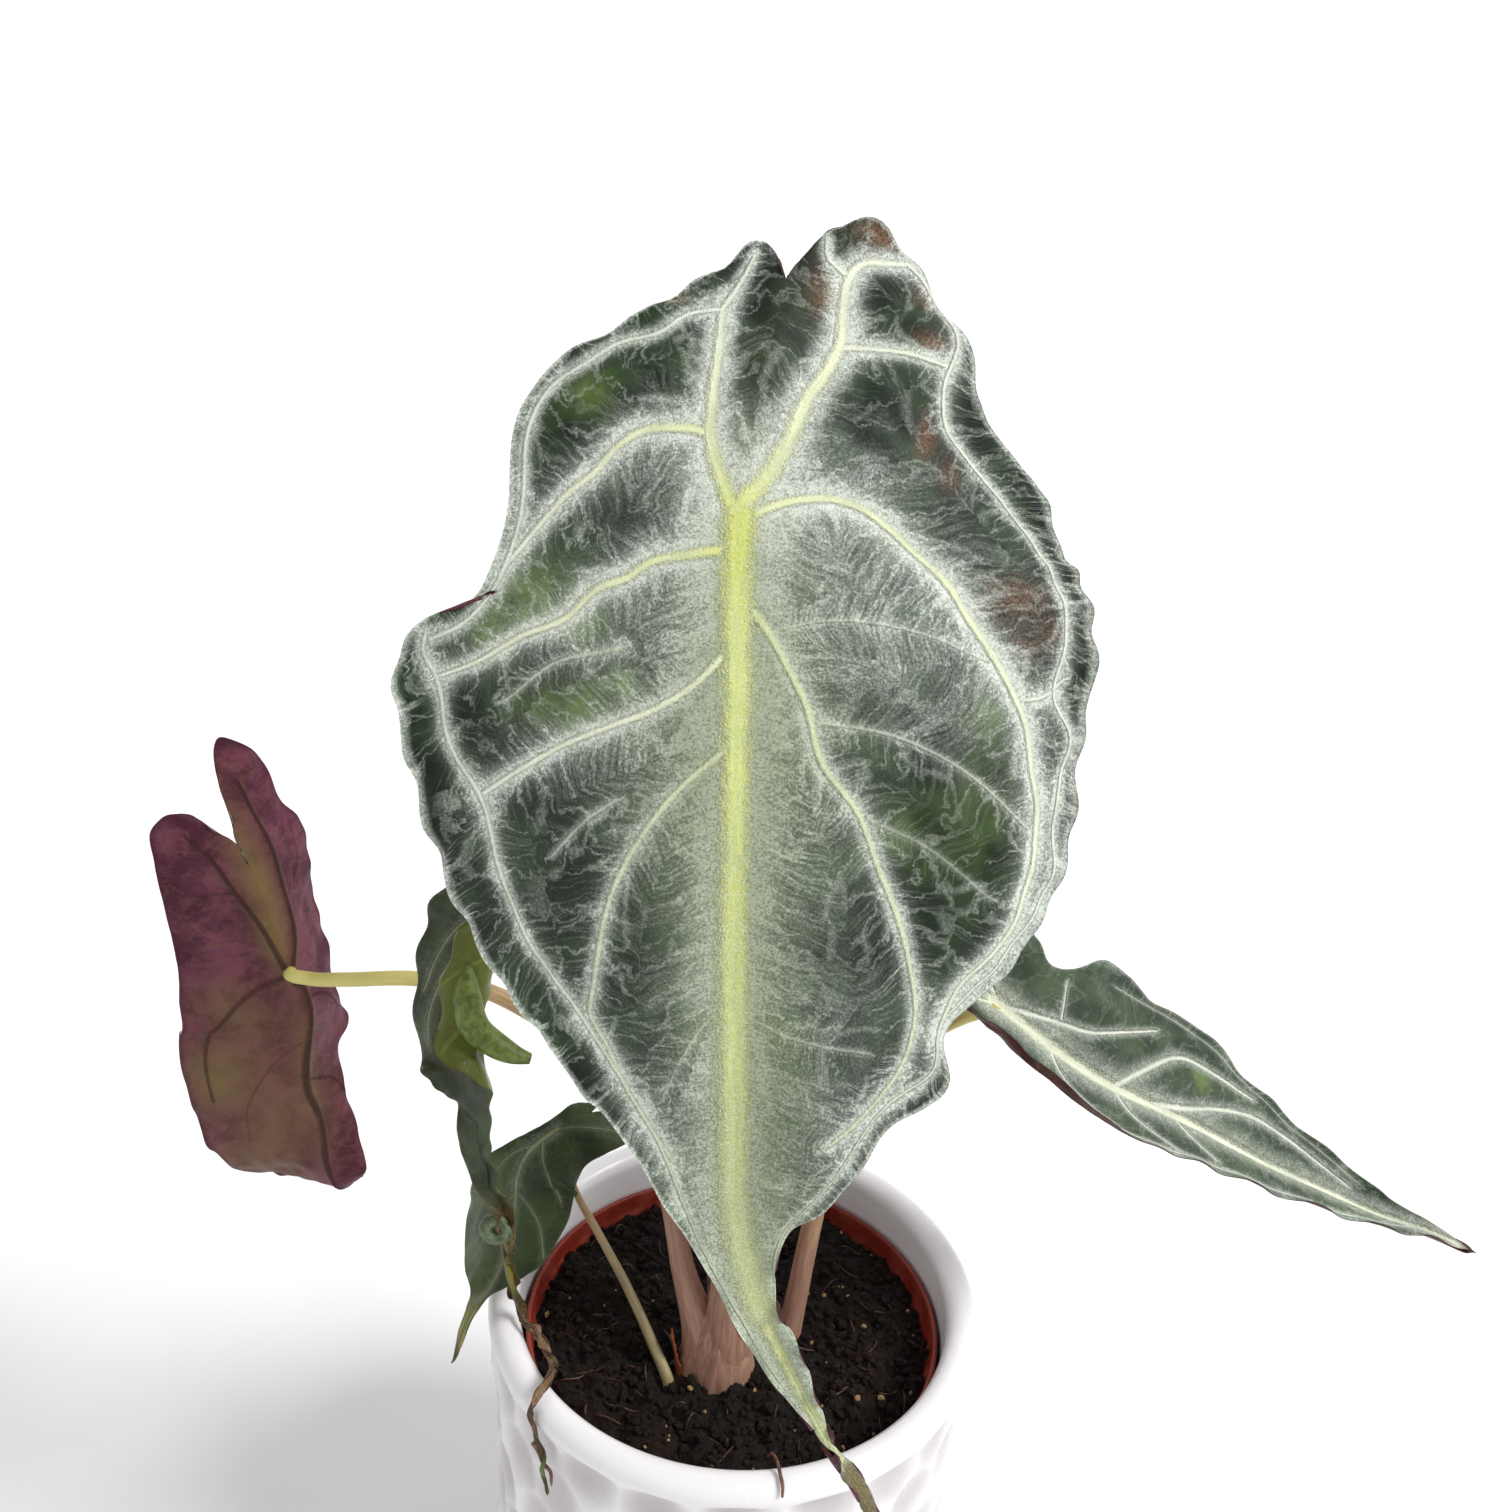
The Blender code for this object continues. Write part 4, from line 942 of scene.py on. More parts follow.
MAIN_SCARS = [
    (9, -50, 4, 6, 0.7), (16, -66, 5, 3, 0.75), (31, -45, 4, 2.5, 0.75), (33, -25, 2, 5, 0.7),
    (54, 13, 8, 5, 0.6), (56, 24, 5, 4, 0.4), (28, -56, 3, 3, 0.5), (-20, -43, 3, 1.5, 0.6),
    (39, -18, 2, 4, 0.5), (64, 20, 3, 3, 0.4), (0, 212, 8, 15, 1.3),
]


def make_main_leaf():
    """The main blade with its silver network."""
    fields = {
        "haze": MAIN_HAZE, "warm": MAIN_WARM, "patch": MAIN_PATCHES, "scar": MAIN_SCARS,
        "olive": [(0, 40, 30, 80, 0.7)],
        "yolk": [(0, 2, 6, 12, 1.0), (0, 60, 4, 70, 0.35)],
    }
    return make_blade(
        "main_leaf", main_blade(), (MAIN_LEFT, MAIN_RIGHT), Veins(MAIN_VEINS), (230, 80), 1.5,
        (settings("leaf").quilting, 0.32, 1.3, 13.0), leaf_finishes("main_leaf", fade=(70, 150)),
        fields,
    )


def left_blade():
    """A blade on the left whose purple underside faces the front; its tip curls away."""
    midrib = from_rim(
        (-150, 8, 157), (-141, 12, 129), (-136, 15, 108), (-131.5, 17.5, 85.5), (-128.5, 18, 71),
        (-129, 18.5, 57), (-128, 19, 41), (-126.5, 19, 26), (-125, 20, 14), (-123, 22, 6),
        (-121, 30, 1.5), (-119, 40, 2),
    )
    facing = [
        (-80, -0.35, 0.92, -0.08), (0, -0.4, 0.91, -0.08), (40, -0.4, 0.91, 0),
        (58, -0.3, 0.9, 0.2), (72, -0.2, 0.5, 0.9), (90, -0.2, 0.1, 1),
    ]
    folds = [
        (-80, 8, 0.2, 0, -0.1), (-40, 30, 0.4, 0, -0.1), (0, 45, 0.3, 4, 0.1),
        (60, 35, 0.2, 4, 0.2), (100, 10, 0, 10, 0),
    ]
    return Blade(midrib, 3, facing, folds)


LEFT_LEFT = [
    (0, -42), (-2, -55), (-4, -67), (-8, -73), (-13, -68), (-16, -60), (-16, -48), (-20, -39),
    (-20, -22), (-19, -5), (-19, 8), (-16, 16), (-19, 23), (-22, 30), (-16, 38), (-12, 48),
    (-13, 58), (-12, 68), (-9, 82), (0, 96),
]
LEFT_RIGHT = [
    (0, -42), (4, -50), (8, -57), (13, -60), (18, -57), (21, -48), (24, -32), (28, -8), (32, 6),
    (34, 22), (33, 40), (32, 58), (29, 72), (26, 82), (16, 92), (0, 97),
]
LEFT_VEINS = [
    ([(0, 1), (-2, 8), (-2, 14), (-1, 24), (1, 41), (-1, 53), (0, 70), (0, 90)],
     (1.3, 0.5), (6, 4), (0.0, 0.3), 1.0),
    ([(-1, -1), (-5, -8), (-7, -25), (-8, -38), (-7, -50), (-7, -60)],
     (0.9, 0.4), (5, 3), (0.0, 0.5), 1.0),
    ([(1, -2), (3, -17), (6, -31), (8, -43), (11, -52)], (0.8, 0.4), (5, 3), (0.0, 0.5), 1.0),
    ([(6, -30), (11, -32), (18, -31)], (0.5, 0.3), (4, 3), (0.5, 0.8), 0.7),
    ([(1, 1), (9, 2), (16, 5), (23, 12), (27, 26), (27, 40)],
     (0.8, 0.4), (5, 3), (0.0, 0.5), 0.9),
    ([(0, 24), (10, 32), (18, 44), (20, 58)], (0.4, 0.3), (4, 3), (0.3, 0.6), 0.6),
    ([(-1, 10), (-10, 14), (-18, 24)], (0.5, 0.3), (4, 3), (0.3, 0.6), 0.8),
    ([(0, 38), (-9, 44), (-14, 56)], (0.5, 0.3), (4, 3), (0.3, 0.6), 0.8),
    ([(-6, -20), (-14, -26), (-17, -40)], (0.3, 0.3), (4, 3), (0.3, 0.6), 0.6),
]


def make_left_leaf():
    """The left blade, mostly seen from its plum underside."""
    olive = [
        (-1, -30, 5, 24, 1.0), (2, -10, 3, 9, 0.8), (25, 33, 9, 10, 0.9), (14, 15, 10, 12, 0.4),
        (8, 50, 16, 22, 0.5), (0, 30, 3, 20, 0.5), (20, 5, 8, 8, 0.4), (22, 70, 12, 16, 0.5),
    ]
    fields = {
        "haze": [(0, 20, 14, 40, 0.5)], "warm": [(0, 20, 9, 40, 0.5)],
        "patch": [(15, 20, 5, 5, 0.4)], "scar": [(-10, 50, 4, 4, 0.3)],
        "olive": olive, "yolk": [(0, 0, 5, 7, 1.0)],
    }
    return make_blade(
        "left_leaf", left_blade(), (LEFT_LEFT, LEFT_RIGHT), Veins(LEFT_VEINS), (180, 60), 1.5,
        (1.1, 0.3, 1.0, 15.0), leaf_finishes("left_leaf"), fields,
    )


def right_blade():
    """A long blade reaching out to the right, folded along its midrib like a gutter."""
    midrib = from_rim(
        (30, 17, 116), (49, 13.5, 108), (65.8, 10.7, 96.8), (78, 8, 88.5), (94, 5, 79),
        (122, 2, 67.5), (145, -1.5, 58), (162, -3.5, 52), (177, -5.5, 47), (191, -6.5, 43.5),
        (206, -8, 38),
    )
    facing = [(-40, 0.3, -0.3, 0.9), (0, 0.3, -0.3, 0.9), (150, 0.3, -0.35, 0.9)]
    folds = [
        (-40, -18, 3.8, 30, -0.3), (30, -18, 3.8, 26, -0.3), (55, 2, 1.4, 24, -0.3),
        (110, 12, 2, 20, 0), (150, 20, 4, 30, 4),
    ]
    return Blade(midrib, 2, facing, folds)


RIGHT_LEFT = [
    (0, -20), (-8, -33), (-16, -28), (-21, -10), (-22, 8), (-22, 25), (-20, 40), (-17, 55),
    (-14, 75), (-11, 95), (-8, 112), (-5, 128), (-2, 141), (0, 153),
]
RIGHT_RIGHT = [
    (0, -20), (10, -36), (20, -32), (24, -18), (22, 0), (19, 7), (23, 14), (31, 21), (32, 30),
    (29, 45), (28, 60), (22, 75), (18, 88), (13, 102), (8, 117), (4, 131), (2, 142), (0, 153),
]
RIGHT_VEINS = [
    ([(0, -2), (0, 20), (0, 50), (0, 90), (0, 130), (0, 150)], (2.2, 0.9), (6, 3), (0.8, 0.9), 1.0),
    ([(0, 1), (3, 8), (7, 18), (10, 27), (14, 34), (21, 48)], (1.0, 0.4), (3, 2), (1.0, 1.0), 0.9),
    ([(8, 18), (13, 16), (18, 14)], (0.4, 0.3), (2.5, 2), (1.0, 1.0), 0.8),
    ([(0, 40), (8, 47), (17, 58), (17, 66), (16, 80)], (1.2, 0.4), (3, 2), (1.0, 1.0), 0.9),
    ([(0, 50), (4, 63), (8, 71), (11, 82), (10, 92), (6, 106), (4, 113)],
     (1.1, 0.4), (3, 2), (1.0, 1.0), 0.9),
    ([(1, -1), (6, -12), (13, -26)], (0.7, 0.3), (3, 2), (0.8, 1.0), 0.9),
    ([(-1, -1), (-6, -12), (-10, -24)], (0.7, 0.3), (3, 2), (0.8, 1.0), 0.9),
    ([(0, 58), (-5, 64), (-10, 72)], (0.5, 0.3), (3, 2), (1.0, 1.0), 0.9),
    ([(0, 18), (-8, 27), (-16, 40)], (0.5, 0.3), (3, 2), (1.0, 1.0), 0.9),
    ([(0, 40), (-8, 48), (-14, 60)], (0.5, 0.3), (3, 2), (1.0, 1.0), 0.9),
    ([(-19, 10), (-17, 45), (-13, 70), (-10, 90), (-7, 111), (-4, 122), (0, 137)],
     (0.4, 0.3), (2.5, 2), (1.0, 1.0), 0.85),
    ([(26, 28), (27, 45), (25, 60), (20, 76), (13, 96), (6, 116)],
     (0.3, 0.2), (2, 1.5), (1.0, 1.0), 0.5),
]


def make_right_leaf():
    """The right blade: grey-green above, reddish brown below."""
    setting = settings("leaf")
    fields = {
        "haze": [(-4, 60, 12, 60, 0.3), (6, 60, 12, 10, 0.15)],
        "warm": [(0, 60, 5, 60, 0.2)], "patch": [(12, 62, 4, 6, 0.9)],
        "scar": [(0, 152, 8, 12, 1.0)], "olive": [(0, 40, 12, 50, 0.2)],
        "yolk": [(0, 0, 4, 7, 0.5)],
    }
    upper = silver_face("right_leaf_upper", srgb(42, 56, 40), srgb(68, 84, 60), 0.42, 0.5)
    lower = plum_face(
        "right_leaf_lower", srgb(52, 26, 24), srgb(84, 50, 44), srgb(96, 64, 50),
        setting.olive,
    )
    return make_blade(
        "right_leaf", right_blade(), (RIGHT_LEFT, RIGHT_RIGHT), Veins(RIGHT_VEINS), (190, 54),
        1.5, (1.2, 0.3, 1.0, 17.0), [upper, lower], fields,
    )


def curled_blade():
    """A rolled-up blade behind the main one, whose long twisted tip hangs into the pot."""
    midrib = from_rim(
        (-58, 4, 131), (-68, -4, 124), (-73, -10, 113), (-74.5, -14, 102), (-74, -18, 91),
        (-72, -21, 84), (-70, -22.5, 76), (-69.5, -22, 64), (-67, -22, 52), (-64.5, -22, 44),
        (-64.5, -23, 34), (-65, -24.5, 24),
    ) + beside_rim(
        (201.5, -2.0, 13), (200.5, -5.5, 4), (203.5, -7.5, -2.0), (212, -7.0, -3),
        (218, -4.5, 1.5), (222, 0.5, 2.6), (224, 5.9, 0.3), (224.5, 6.8, -3.5),
        (225.5, 6.6, -6.5), (227, 6.4, -10),
    )
    facing = [
        (-10, -0.3, -0.8, 0.5), (53, -0.4, -0.9, 0.1), (78, -0.3, -1, 0), (98, 0.8, -0.7, 0),
        (109, 0.8, 0.5, 0.1), (121, -0.6, 0.8, 0), (138, 0.5, -0.8, 0.2), (163, 0.7, 0.3, 0.6),
        (179, 0.2, 0.3, 1), (187, -0.6, -0.6, 0.6), (205, -0.7, -0.7, 0),
    ]
    folds = [
        (-10, -20, 0.5, -20, 7), (13, -25, 0.5, -20, 9), (32, -25, 0.8, -16, 8.5),
        (43, -25, 0.8, -4, 5.5), (51, -15, 1.5, 5, 4), (61, 5, 3, 10, 3), (73, 20, 2, 20, 2),
        (205, 10, 0, 10, 0),
    ]
    return Blade(midrib, 1, facing, folds)


CURLED_LEFT = [
    (0, -8), (-7, -12), (-14, -8), (-20, 4), (-22, 18), (-22, 32), (-22, 43), (-16, 49),
    (-7.5, 53), (-6.4, 63), (-5.4, 75), (-4.4, 88), (-3.4, 103), (-2.6, 123), (-2.2, 143),
    (-2, 156), (-1.4, 166), (-1.2, 180), (0, 191),
]
CURLED_RIGHT = [
    (0, -8), (9, -12), (20, -6), (28, 4), (30, 14), (28, 22), (28, 30), (25, 38), (17, 44), (9, 48),
    (6, 54),
    (6, 63), (5, 75), (4.2, 88), (3.4, 103), (2.6, 123), (2.2, 143), (2, 156), (1.4, 166),
    (1.2, 180), (0, 191),
]
CURLED_VEINS = [
    ([(0, -4), (0, 20), (0, 44)], (0.8, 0.3), (4, 2), (0.2, 0.2), 0.7),
    ([(0, 0), (-10, 9), (-19, 27)], (0.6, 0.4), (3.5, 2.5), (0.3, 0.5), 0.9),
    ([(0, 13), (-11, 22), (-19, 38)], (0.6, 0.4), (3.5, 2.5), (0.3, 0.5), 0.9),
    ([(0, 2), (12, 8), (25, 20)], (0.6, 0.4), (3.5, 2.5), (0.2, 0.3), 0.8),
    ([(0, 14), (10, 22), (23, 35)], (0.6, 0.4), (3.5, 2.5), (0.2, 0.3), 0.8),
]


def make_curled_leaf():
    """The rolled blade: glossy olive, browner and purpler towards the end of its tail."""
    setting = settings("leaf")
    fields = {
        "haze": [(14, 25, 14, 20, 0.2)], "warm": [(0, 20, 40, 60, 0.3)],
        "patch": [(18, 22, 14, 26, 0.8), (0, 112, 6, 10, 0.9), (0, 180, 6, 8, 0.7)],
        "scar": [(0, 95, 8, 9, 0.7), (0, 140, 8, 16, 0.9), (0, 165, 8, 10, 0.8),
                 (0, 200, 8, 8, 0.9)],
        "olive": [(0, 20, 60, 60, 1.0), (0, 80, 10, 20, 0.8)],
        "yolk": [(0, 112, 4, 6, 0.9)],
    }
    upper = silver_face(
        "curled_leaf_upper", setting.glossy, srgb(46, 60, 15), 0.24, 0.14,
        sage=setting.glossy_light, vein_tone=srgb(88, 102, 46), gloss=0.4,
    )
    lower = plum_face(
        "curled_leaf_lower", srgb(66, 48, 40), srgb(84, 74, 42), srgb(120, 132, 62),
        setting.glossy_light, 0.26,
    )
    return make_blade(
        "curled_leaf", curled_blade(), (CURLED_LEFT, CURLED_RIGHT), Veins(CURLED_VEINS),
        (260, 40), 1.15, (1.5, 0.3, 1.5, 11.0), [upper, lower], fields,
    )


def low_blade():
    """A broad low blade that arches to the left and rests its narrow tip over the rim."""
    midrib = from_rim(
        (-28, 30, 40), (-43.4, 21.6, 42), (-56.3, 13, 39.4), (-63, 8.4, 34.2), (-65, 5.5, 28.5),
        (-65, 1.5, 22),
    ) + beside_rim(
        (183, -1.0, 14.6), (188, 1.5, 8.5), (192, 5.0, 4.5), (195.5, 9.0, 3.0), (198, 12.0, -1.5),
        (199.5, 14.0, -6),
    )
    facing = [
        (-40, -0.1, -0.5, 0.85), (0, -0.2, -0.6, 0.75), (20, -0.5, -0.75, 0.4),
        (60, -0.7, -0.5, 0.4), (80, -0.7, -0.5, 0.4),
    ]
    folds = [(-30, 0, -0.8, 0, -0.8), (50, 0, -0.8, 0, -0.8), (70, 0, 0, 0, 0)]
    return Blade(midrib, 2, facing, folds)


LOW_LEFT = [
    (0, -12), (-2, -16), (-4, -12), (-4, -4), (-4, 4), (-8, 11), (-15, 17), (-21, 23),
    (-24, 31), (-21, 40), (-14, 46), (-6, 50), (-2.5, 56), (-1.6, 64), (0, 71),
]
LOW_RIGHT = [
    (0, -12), (6, -26), (11, -22), (13, -12), (14, -2), (18, 6), (19, 16), (18, 25),
    (16, 32), (15, 37), (11, 42), (5, 48), (2.5, 56), (1.6, 64), (0, 71),
]
LOW_VEINS = [
    ([(0, -2), (0, 20), (1, 45), (0, 69)], (0.8, 0.4), (3, 2), (0.3, 0.5), 1.0),
    ([(0, 6), (-9, 18), (-18, 34)], (0.4, 0.3), (3, 2), (0.3, 0.5), 0.7),
    ([(0, 3), (8, 10), (15, 22)], (0.4, 0.3), (3, 2), (0.3, 0.5), 0.7),
    ([(0, 20), (9, 27), (14, 36)], (0.4, 0.3), (3, 2), (0.3, 0.5), 0.6),
    ([(0, 20), (-8, 31), (-13, 42)], (0.4, 0.3), (3, 2), (0.3, 0.5), 0.7),
    ([(0, -2), (5, -12), (9, -20)], (0.4, 0.3), (3, 2), (0.3, 0.5), 0.7),
]


def make_low_leaf():
    """The low blade: a plain deep green, lighter on the left, browner at its tip."""
    fields = {
        "haze": [(-14, 28, 10, 16, 0.3)], "warm": [(0, 20, 60, 60, 0.25)],
        "patch": [(-14, 30, 10, 20, 0.55), (0, 60, 5, 6, 0.9)],
        "scar": [(0, 71, 5, 9, 1.3)], "olive": [(0, 20, 60, 60, 1.0)],
        "yolk": [(0, 60, 5, 7, 1.0)],
    }
    upper = silver_face(
        "low_leaf_upper", srgb(22, 31, 8), srgb(40, 55, 17), 0.34, 0.12, sage=srgb(104, 120, 60),
        vein_tone=srgb(60, 76, 28), gloss=0.25,
    )
    lower = plum_face(
        "low_leaf_lower", srgb(60, 58, 30), srgb(92, 92, 44), srgb(140, 140, 80),
        srgb(96, 104, 50), 0.4,
    )
    return make_blade(
        "low_leaf", low_blade(), (LOW_LEFT, LOW_RIGHT), Veins(LOW_VEINS), (150, 44), 1.5,
        (0.9, 0.25, 0.7, 12.0), [upper, lower], fields,
    )


# ---- stalks

def carried_circle(points, radii, steps, sides):
    """A circle carried along a smooth curve: centre + radius * (cos, sin) in its own frame.

    The circle's two directions come from crossing the curve's direction with a fixed hint.
    Returns the skin, the distance along and the turn round of every point.
    """
    stations = chord_stations(points)
    where = np.linspace(0.0, stations[-1], steps + 1)
    centres = smooth_curve(stations, points, where)
    radius = smooth_curve(np.linspace(0.0, stations[-1], len(radii)), radii, where)[:, 0]
    forward = unit(np.gradient(centres, axis=0))
    sideways = unit(np.cross(np.array((0.3, 1.0, 0.2)), forward))
    other = np.cross(forward, sideways)
    turn = round_turn(sides)
    ring = (
        sideways[:, None] * np.cos(turn)[None, :, None]
        + other[:, None] * np.sin(turn)[None, :, None]
    )
    ridge = 1 + 0.025 * np.sin(3 * turn + 0.7)[None] + 0.012 * np.sin(7 * turn)[None]
    skin = centres[:, None] + ring * (radius[:, None] * ridge)[..., None]
    return skin, centres, where, turn, radius


def make_tube(name, points, radii, materials, slot, nodes=(), steps=90, sides=24, tone=(0, 1)):
    """A round stalk with pointed-in ends; tone is the stored colour share at its two ends."""
    skin, centres, where, turn, radius = carried_circle(points, radii, steps, sides)
    everything = np.concatenate((skin.reshape(-1, 3), centres[:1], centres[-1:]))
    faces = closed_rings(steps + 1, sides)
    item = make_piece(name, everything, faces, materials, nodes)
    share = tone[0] + (tone[1] - tone[0]) * np.linspace(0, 1, steps + 1)
    share = np.repeat(share, sides)
    store(item.data, "tone", np.concatenate((share, [tone[0], tone[1]])))
    size = radius[:, None]
    flat = points_of(size * np.cos(turn), size * np.sin(turn), where[:, None]).reshape(-1, 3)
    flat = np.concatenate((flat, [(0, 0, 0), (0, 0, where[-1])]))
    store(item.data, "skin", flat, "FLOAT_VECTOR", key="vector")
    return item


def stalk_finish(name, foot, foot_dark, top):
    """Dusty at the foot and yellow-green at the top, with lengthwise streaks and small flecks."""
    shader = Shader(name, 0.42, specular=0.4)
    skin = shader.value("skin", "Vector")
    streak = shader.noise(shader.drawn_out(skin, 0.09), 0.9, 4.0, 0.6)
    fleck = shader.noise(skin, 1.4, 3.0, 0.65)
    lower = shader.mix(shader.step(streak, 0.36, 0.64), foot, foot_dark)
    middle = shader.mix(shader.step(streak, 0.35, 0.7), srgb(198, 168, 124), srgb(172, 136, 104))
    tone = shader.times_add(fleck, 0.1, shader.value("tone"))
    base = shader.mix(shader.step(tone, 0.42, 0.68), lower, middle)
    base = shader.mix(shader.step(tone, 0.78, 1.02), base, top)
    base = shader.mix(shader.step(fleck, 0.6, 0.74, 0.0, 0.35), base, foot_dark)
    shader.bump(shader.times_add(streak, 1.0, fleck), 0.00015, 0.4)
    return shader.finish(base, shader.step(fleck, 0.3, 0.7, 0.36, 0.5))


def stalk_radii(diameter, flare=1.0):
    """A stalk's radius from its foot to its joint; flare widens the foot into its sheath."""
    radius = diameter / 2
    return [radius * share for share in (flare, 1.0, 0.9, 0.82, 0.74, 0.66, 0.59, 0.54)]


def joined_path(points, approach, bend, blade, diameter, sunk=0.4):
    """A stalk's points, its last stretch squared to the underside of its blade's joint."""
    joint, _, upward = blade.frame(np.array(0.0))
    end = joint - upward * sunk
    square = end - upward * diameter * 0.5
    back = square - unit(upward + np.array(approach, float)) * bend
    return [*points, back, square, end]


def stem_place(x, y, rise):
    """A point from the middle of the stem base's top."""
    return (STEM_MIDDLE[0] + x, STEM_MIDDLE[1] + y, STEM_HIGH[2] + rise)


def make_stalks(finish, thin):
    """The five stalks, from the stem base or the soil up to their blades' joints.

    Each row: name, route, (approach, bend, blade, square end, sunk) at the joint,
    (diameter, flare) of the foot, and how the tube is made.
    """
    ground = SOIL_HIGH[2]
    rows = (
        ("main_stalk", [
            stem_place(2.0, 0.5, -12), stem_place(2.6, 0.5, -3),
            *from_rim((-1.4, -15, 10), (-2, -13, 30), (-6, -7, 90), (-9, -7, 150),
                      (-11, -15, 205), (-12, -32, 236)),
        ], ((0, 0.0, -0.5), 12.0, main_blade(), 10.0, 1.8), (10.0, 1.6), {"steps": 150}),
        ("left_stalk", [
            stem_place(-3.8, 1.0, -12), stem_place(-5.0, 1.2, -3),
            *from_rim((-15.5, -9, 14), (-21, -1, 34), (-31, 8, 54), (-46, 14.8, 67),
                      (-62, 18.4, 76), (-79, 18.5, 84), (-96, 15.5, 87.5), (-114, 11, 88.5)),
        ], ((-3.2, 0, 0.1), 6.0, left_blade(), 2.0), (7.0, 1.9),
            {"steps": 130, "tone": (0.0, 1.12)}),
        ("curled_stalk", [
            (-5.0, -4.5, ground - 11), (-5.0, -4.5, ground),
            *from_rim((-6, -3.5, 6), (-13, 1, 38), (-25, 8, 72), (-40, 16, 97), (-54, 16, 113)),
        ], ((-0.2, 0, 0), 10.0, curled_blade(), 5.0), (5.0, 1.3), {"tone": (0.0, 1.05)}),
        ("right_stalk", [
            (16.4, -3.6, ground - 11), (17.0, -3.0, ground),
            *from_rim((18.2, -1, -4), (21.1, 3.2, 23), (25, 6, 53), (35, 9, 74), (50, 11, 86)),
        ], ((0.9, 0, 0.2), 8.0, right_blade(), 6.6), (6.6, 1.15), {"tone": (0.2, 1.0)}),
        ("low_stalk", [
            (-16.0, -24.5, ground - 9), (-17.0, -24.0, ground),
            *from_rim((-23, -16, -8), (-31, -7, 2), (-41, 2.5, 13), (-49, 9, 23)),
        ], ((-0.5, 0, 0.4), 6.0, low_blade(), 3.4), (3.3, 1.1),
            {"steps": 70, "sides": 16, "tone": (0.2, 0.7)}),
    )
    for name, route, ending, foot, making in rows:
        low = name == "low_stalk"
        path = joined_path(route, *ending)
        slot = "green_stalk" if low else "pink_stalk"
        skin = thin if low else finish
        make_tube(name, path, stalk_radii(*foot), [skin], slot, (name,), **making)


def make_stem_base(finish):
    """The sheathing base: oval rings that narrow upwards and close in a point on top.

    Ring = middle + (half width, half depth) * swell(height) * (cos, sin); a low ridge
    runs up one side where the sheath laps over.
    """
    steps, sides = 44, 64
    share = np.linspace(0.0, 1.0, steps + 1)[:, None]
    turn = round_turn(sides)[None]
    swell = smooth_curve((0, 0.3, 0.45, 0.62, 0.8, 1.0), (0.85, 1.04, 1.04, 0.9, 0.62, 0.12), share)
    swell = swell[..., 0]
    wrap = 1 + 0.03 * np.sin(2 * turn + 5 * share) + 0.015 * np.sin(9 * turn + 2 * share)
    lap = 0.7 * smooth_step(0.2, 0.0, np.abs(turn - 4.4 - 0.5 * share))
    radius_x = STEM_HALF[0] * swell * wrap + lap
    radius_y = STEM_HALF[1] * swell * wrap + lap
    height = STEM_LOW[2] + (STEM_HIGH[2] + 9.0 - STEM_LOW[2]) * share
    points = points_of(
        STEM_MIDDLE[0] + radius_x * np.cos(turn), STEM_MIDDLE[1] + radius_y * np.sin(turn), height
    )
    ends = np.array(((*STEM_MIDDLE[:2], STEM_LOW[2]), (*STEM_MIDDLE[:2], STEM_HIGH[2] + 9.0)))
    faces = closed_rings(steps + 1, sides)
    everything = np.concatenate((points.reshape(-1, 3), ends))
    item = make_piece("stem_base", everything, faces, [finish], ("stem_base",))
    store(item.data, "tone", np.full(len(everything), 0.08))
    store(item.data, "skin", everything - STEM_MIDDLE, "FLOAT_VECTOR", key="vector")
    return item


def sheath_finish():
    """Dry brown paper with lengthwise fibres."""
    setting = settings("stalk")
    shader = Shader("dry_sheath", 0.75, specular=0.2)
    fibre = shader.noise(shader.drawn_out(shader.place(), 0.15), 1.6, 4.0, 0.7)
    base = shader.mix(shader.step(fibre, 0.35, 0.68), setting.sheath, srgb(92, 48, 28))
    shader.bump(fibre, 0.0004)
    return shader.finish(base)


PAPER = 0.45    # the flake's thickness


def make_dry_sheath():
    """A ragged papery flake curved round the left front of the stem base.

    Point = stem's middle + (radius + lean * rise) * (cos, sin); the flake narrows upwards and
    its margin is ragged by short waves.
    """
    rows, columns = 40, 30
    rise = np.linspace(0.0, 1.0, rows + 1)[:, None]
    side = np.linspace(-1.0, 1.0, columns + 1)[None]
    ragged = 1 + 0.12 * np.sin(19 * rise) + 0.08 * np.sin(43 * rise + 1)
    turn = np.radians(188.0) + np.radians(30.0) * side * (1 - 0.8 * rise ** 1.6) * ragged
    lean = 0.7 + 1.6 * rise ** 2 + 0.4 * side ** 2 + 0.2 * waves(rise * 20, side * 6, 8, 5.0)
    base = SOIL_HIGH[2] - 3.0
    height = base + (STEM_HIGH[2] - 1.0 - base) * rise + 0.6 * np.sin(7 * side)
    layers = [
        points_of(
            STEM_MIDDLE[0] + (STEM_HALF[0] + lean + offset) * np.cos(turn),
            STEM_MIDDLE[1] + (STEM_HALF[1] + lean + offset) * np.sin(turn), height,
        )
        for offset in (PAPER, 0.0)
    ]
    points = np.stack(layers).reshape(-1, 3)
    faces = sheet_faces(rows + 1, columns + 1)
    return make_piece("dry_sheath", points, faces, [sheath_finish()], ("dry_sheath",))


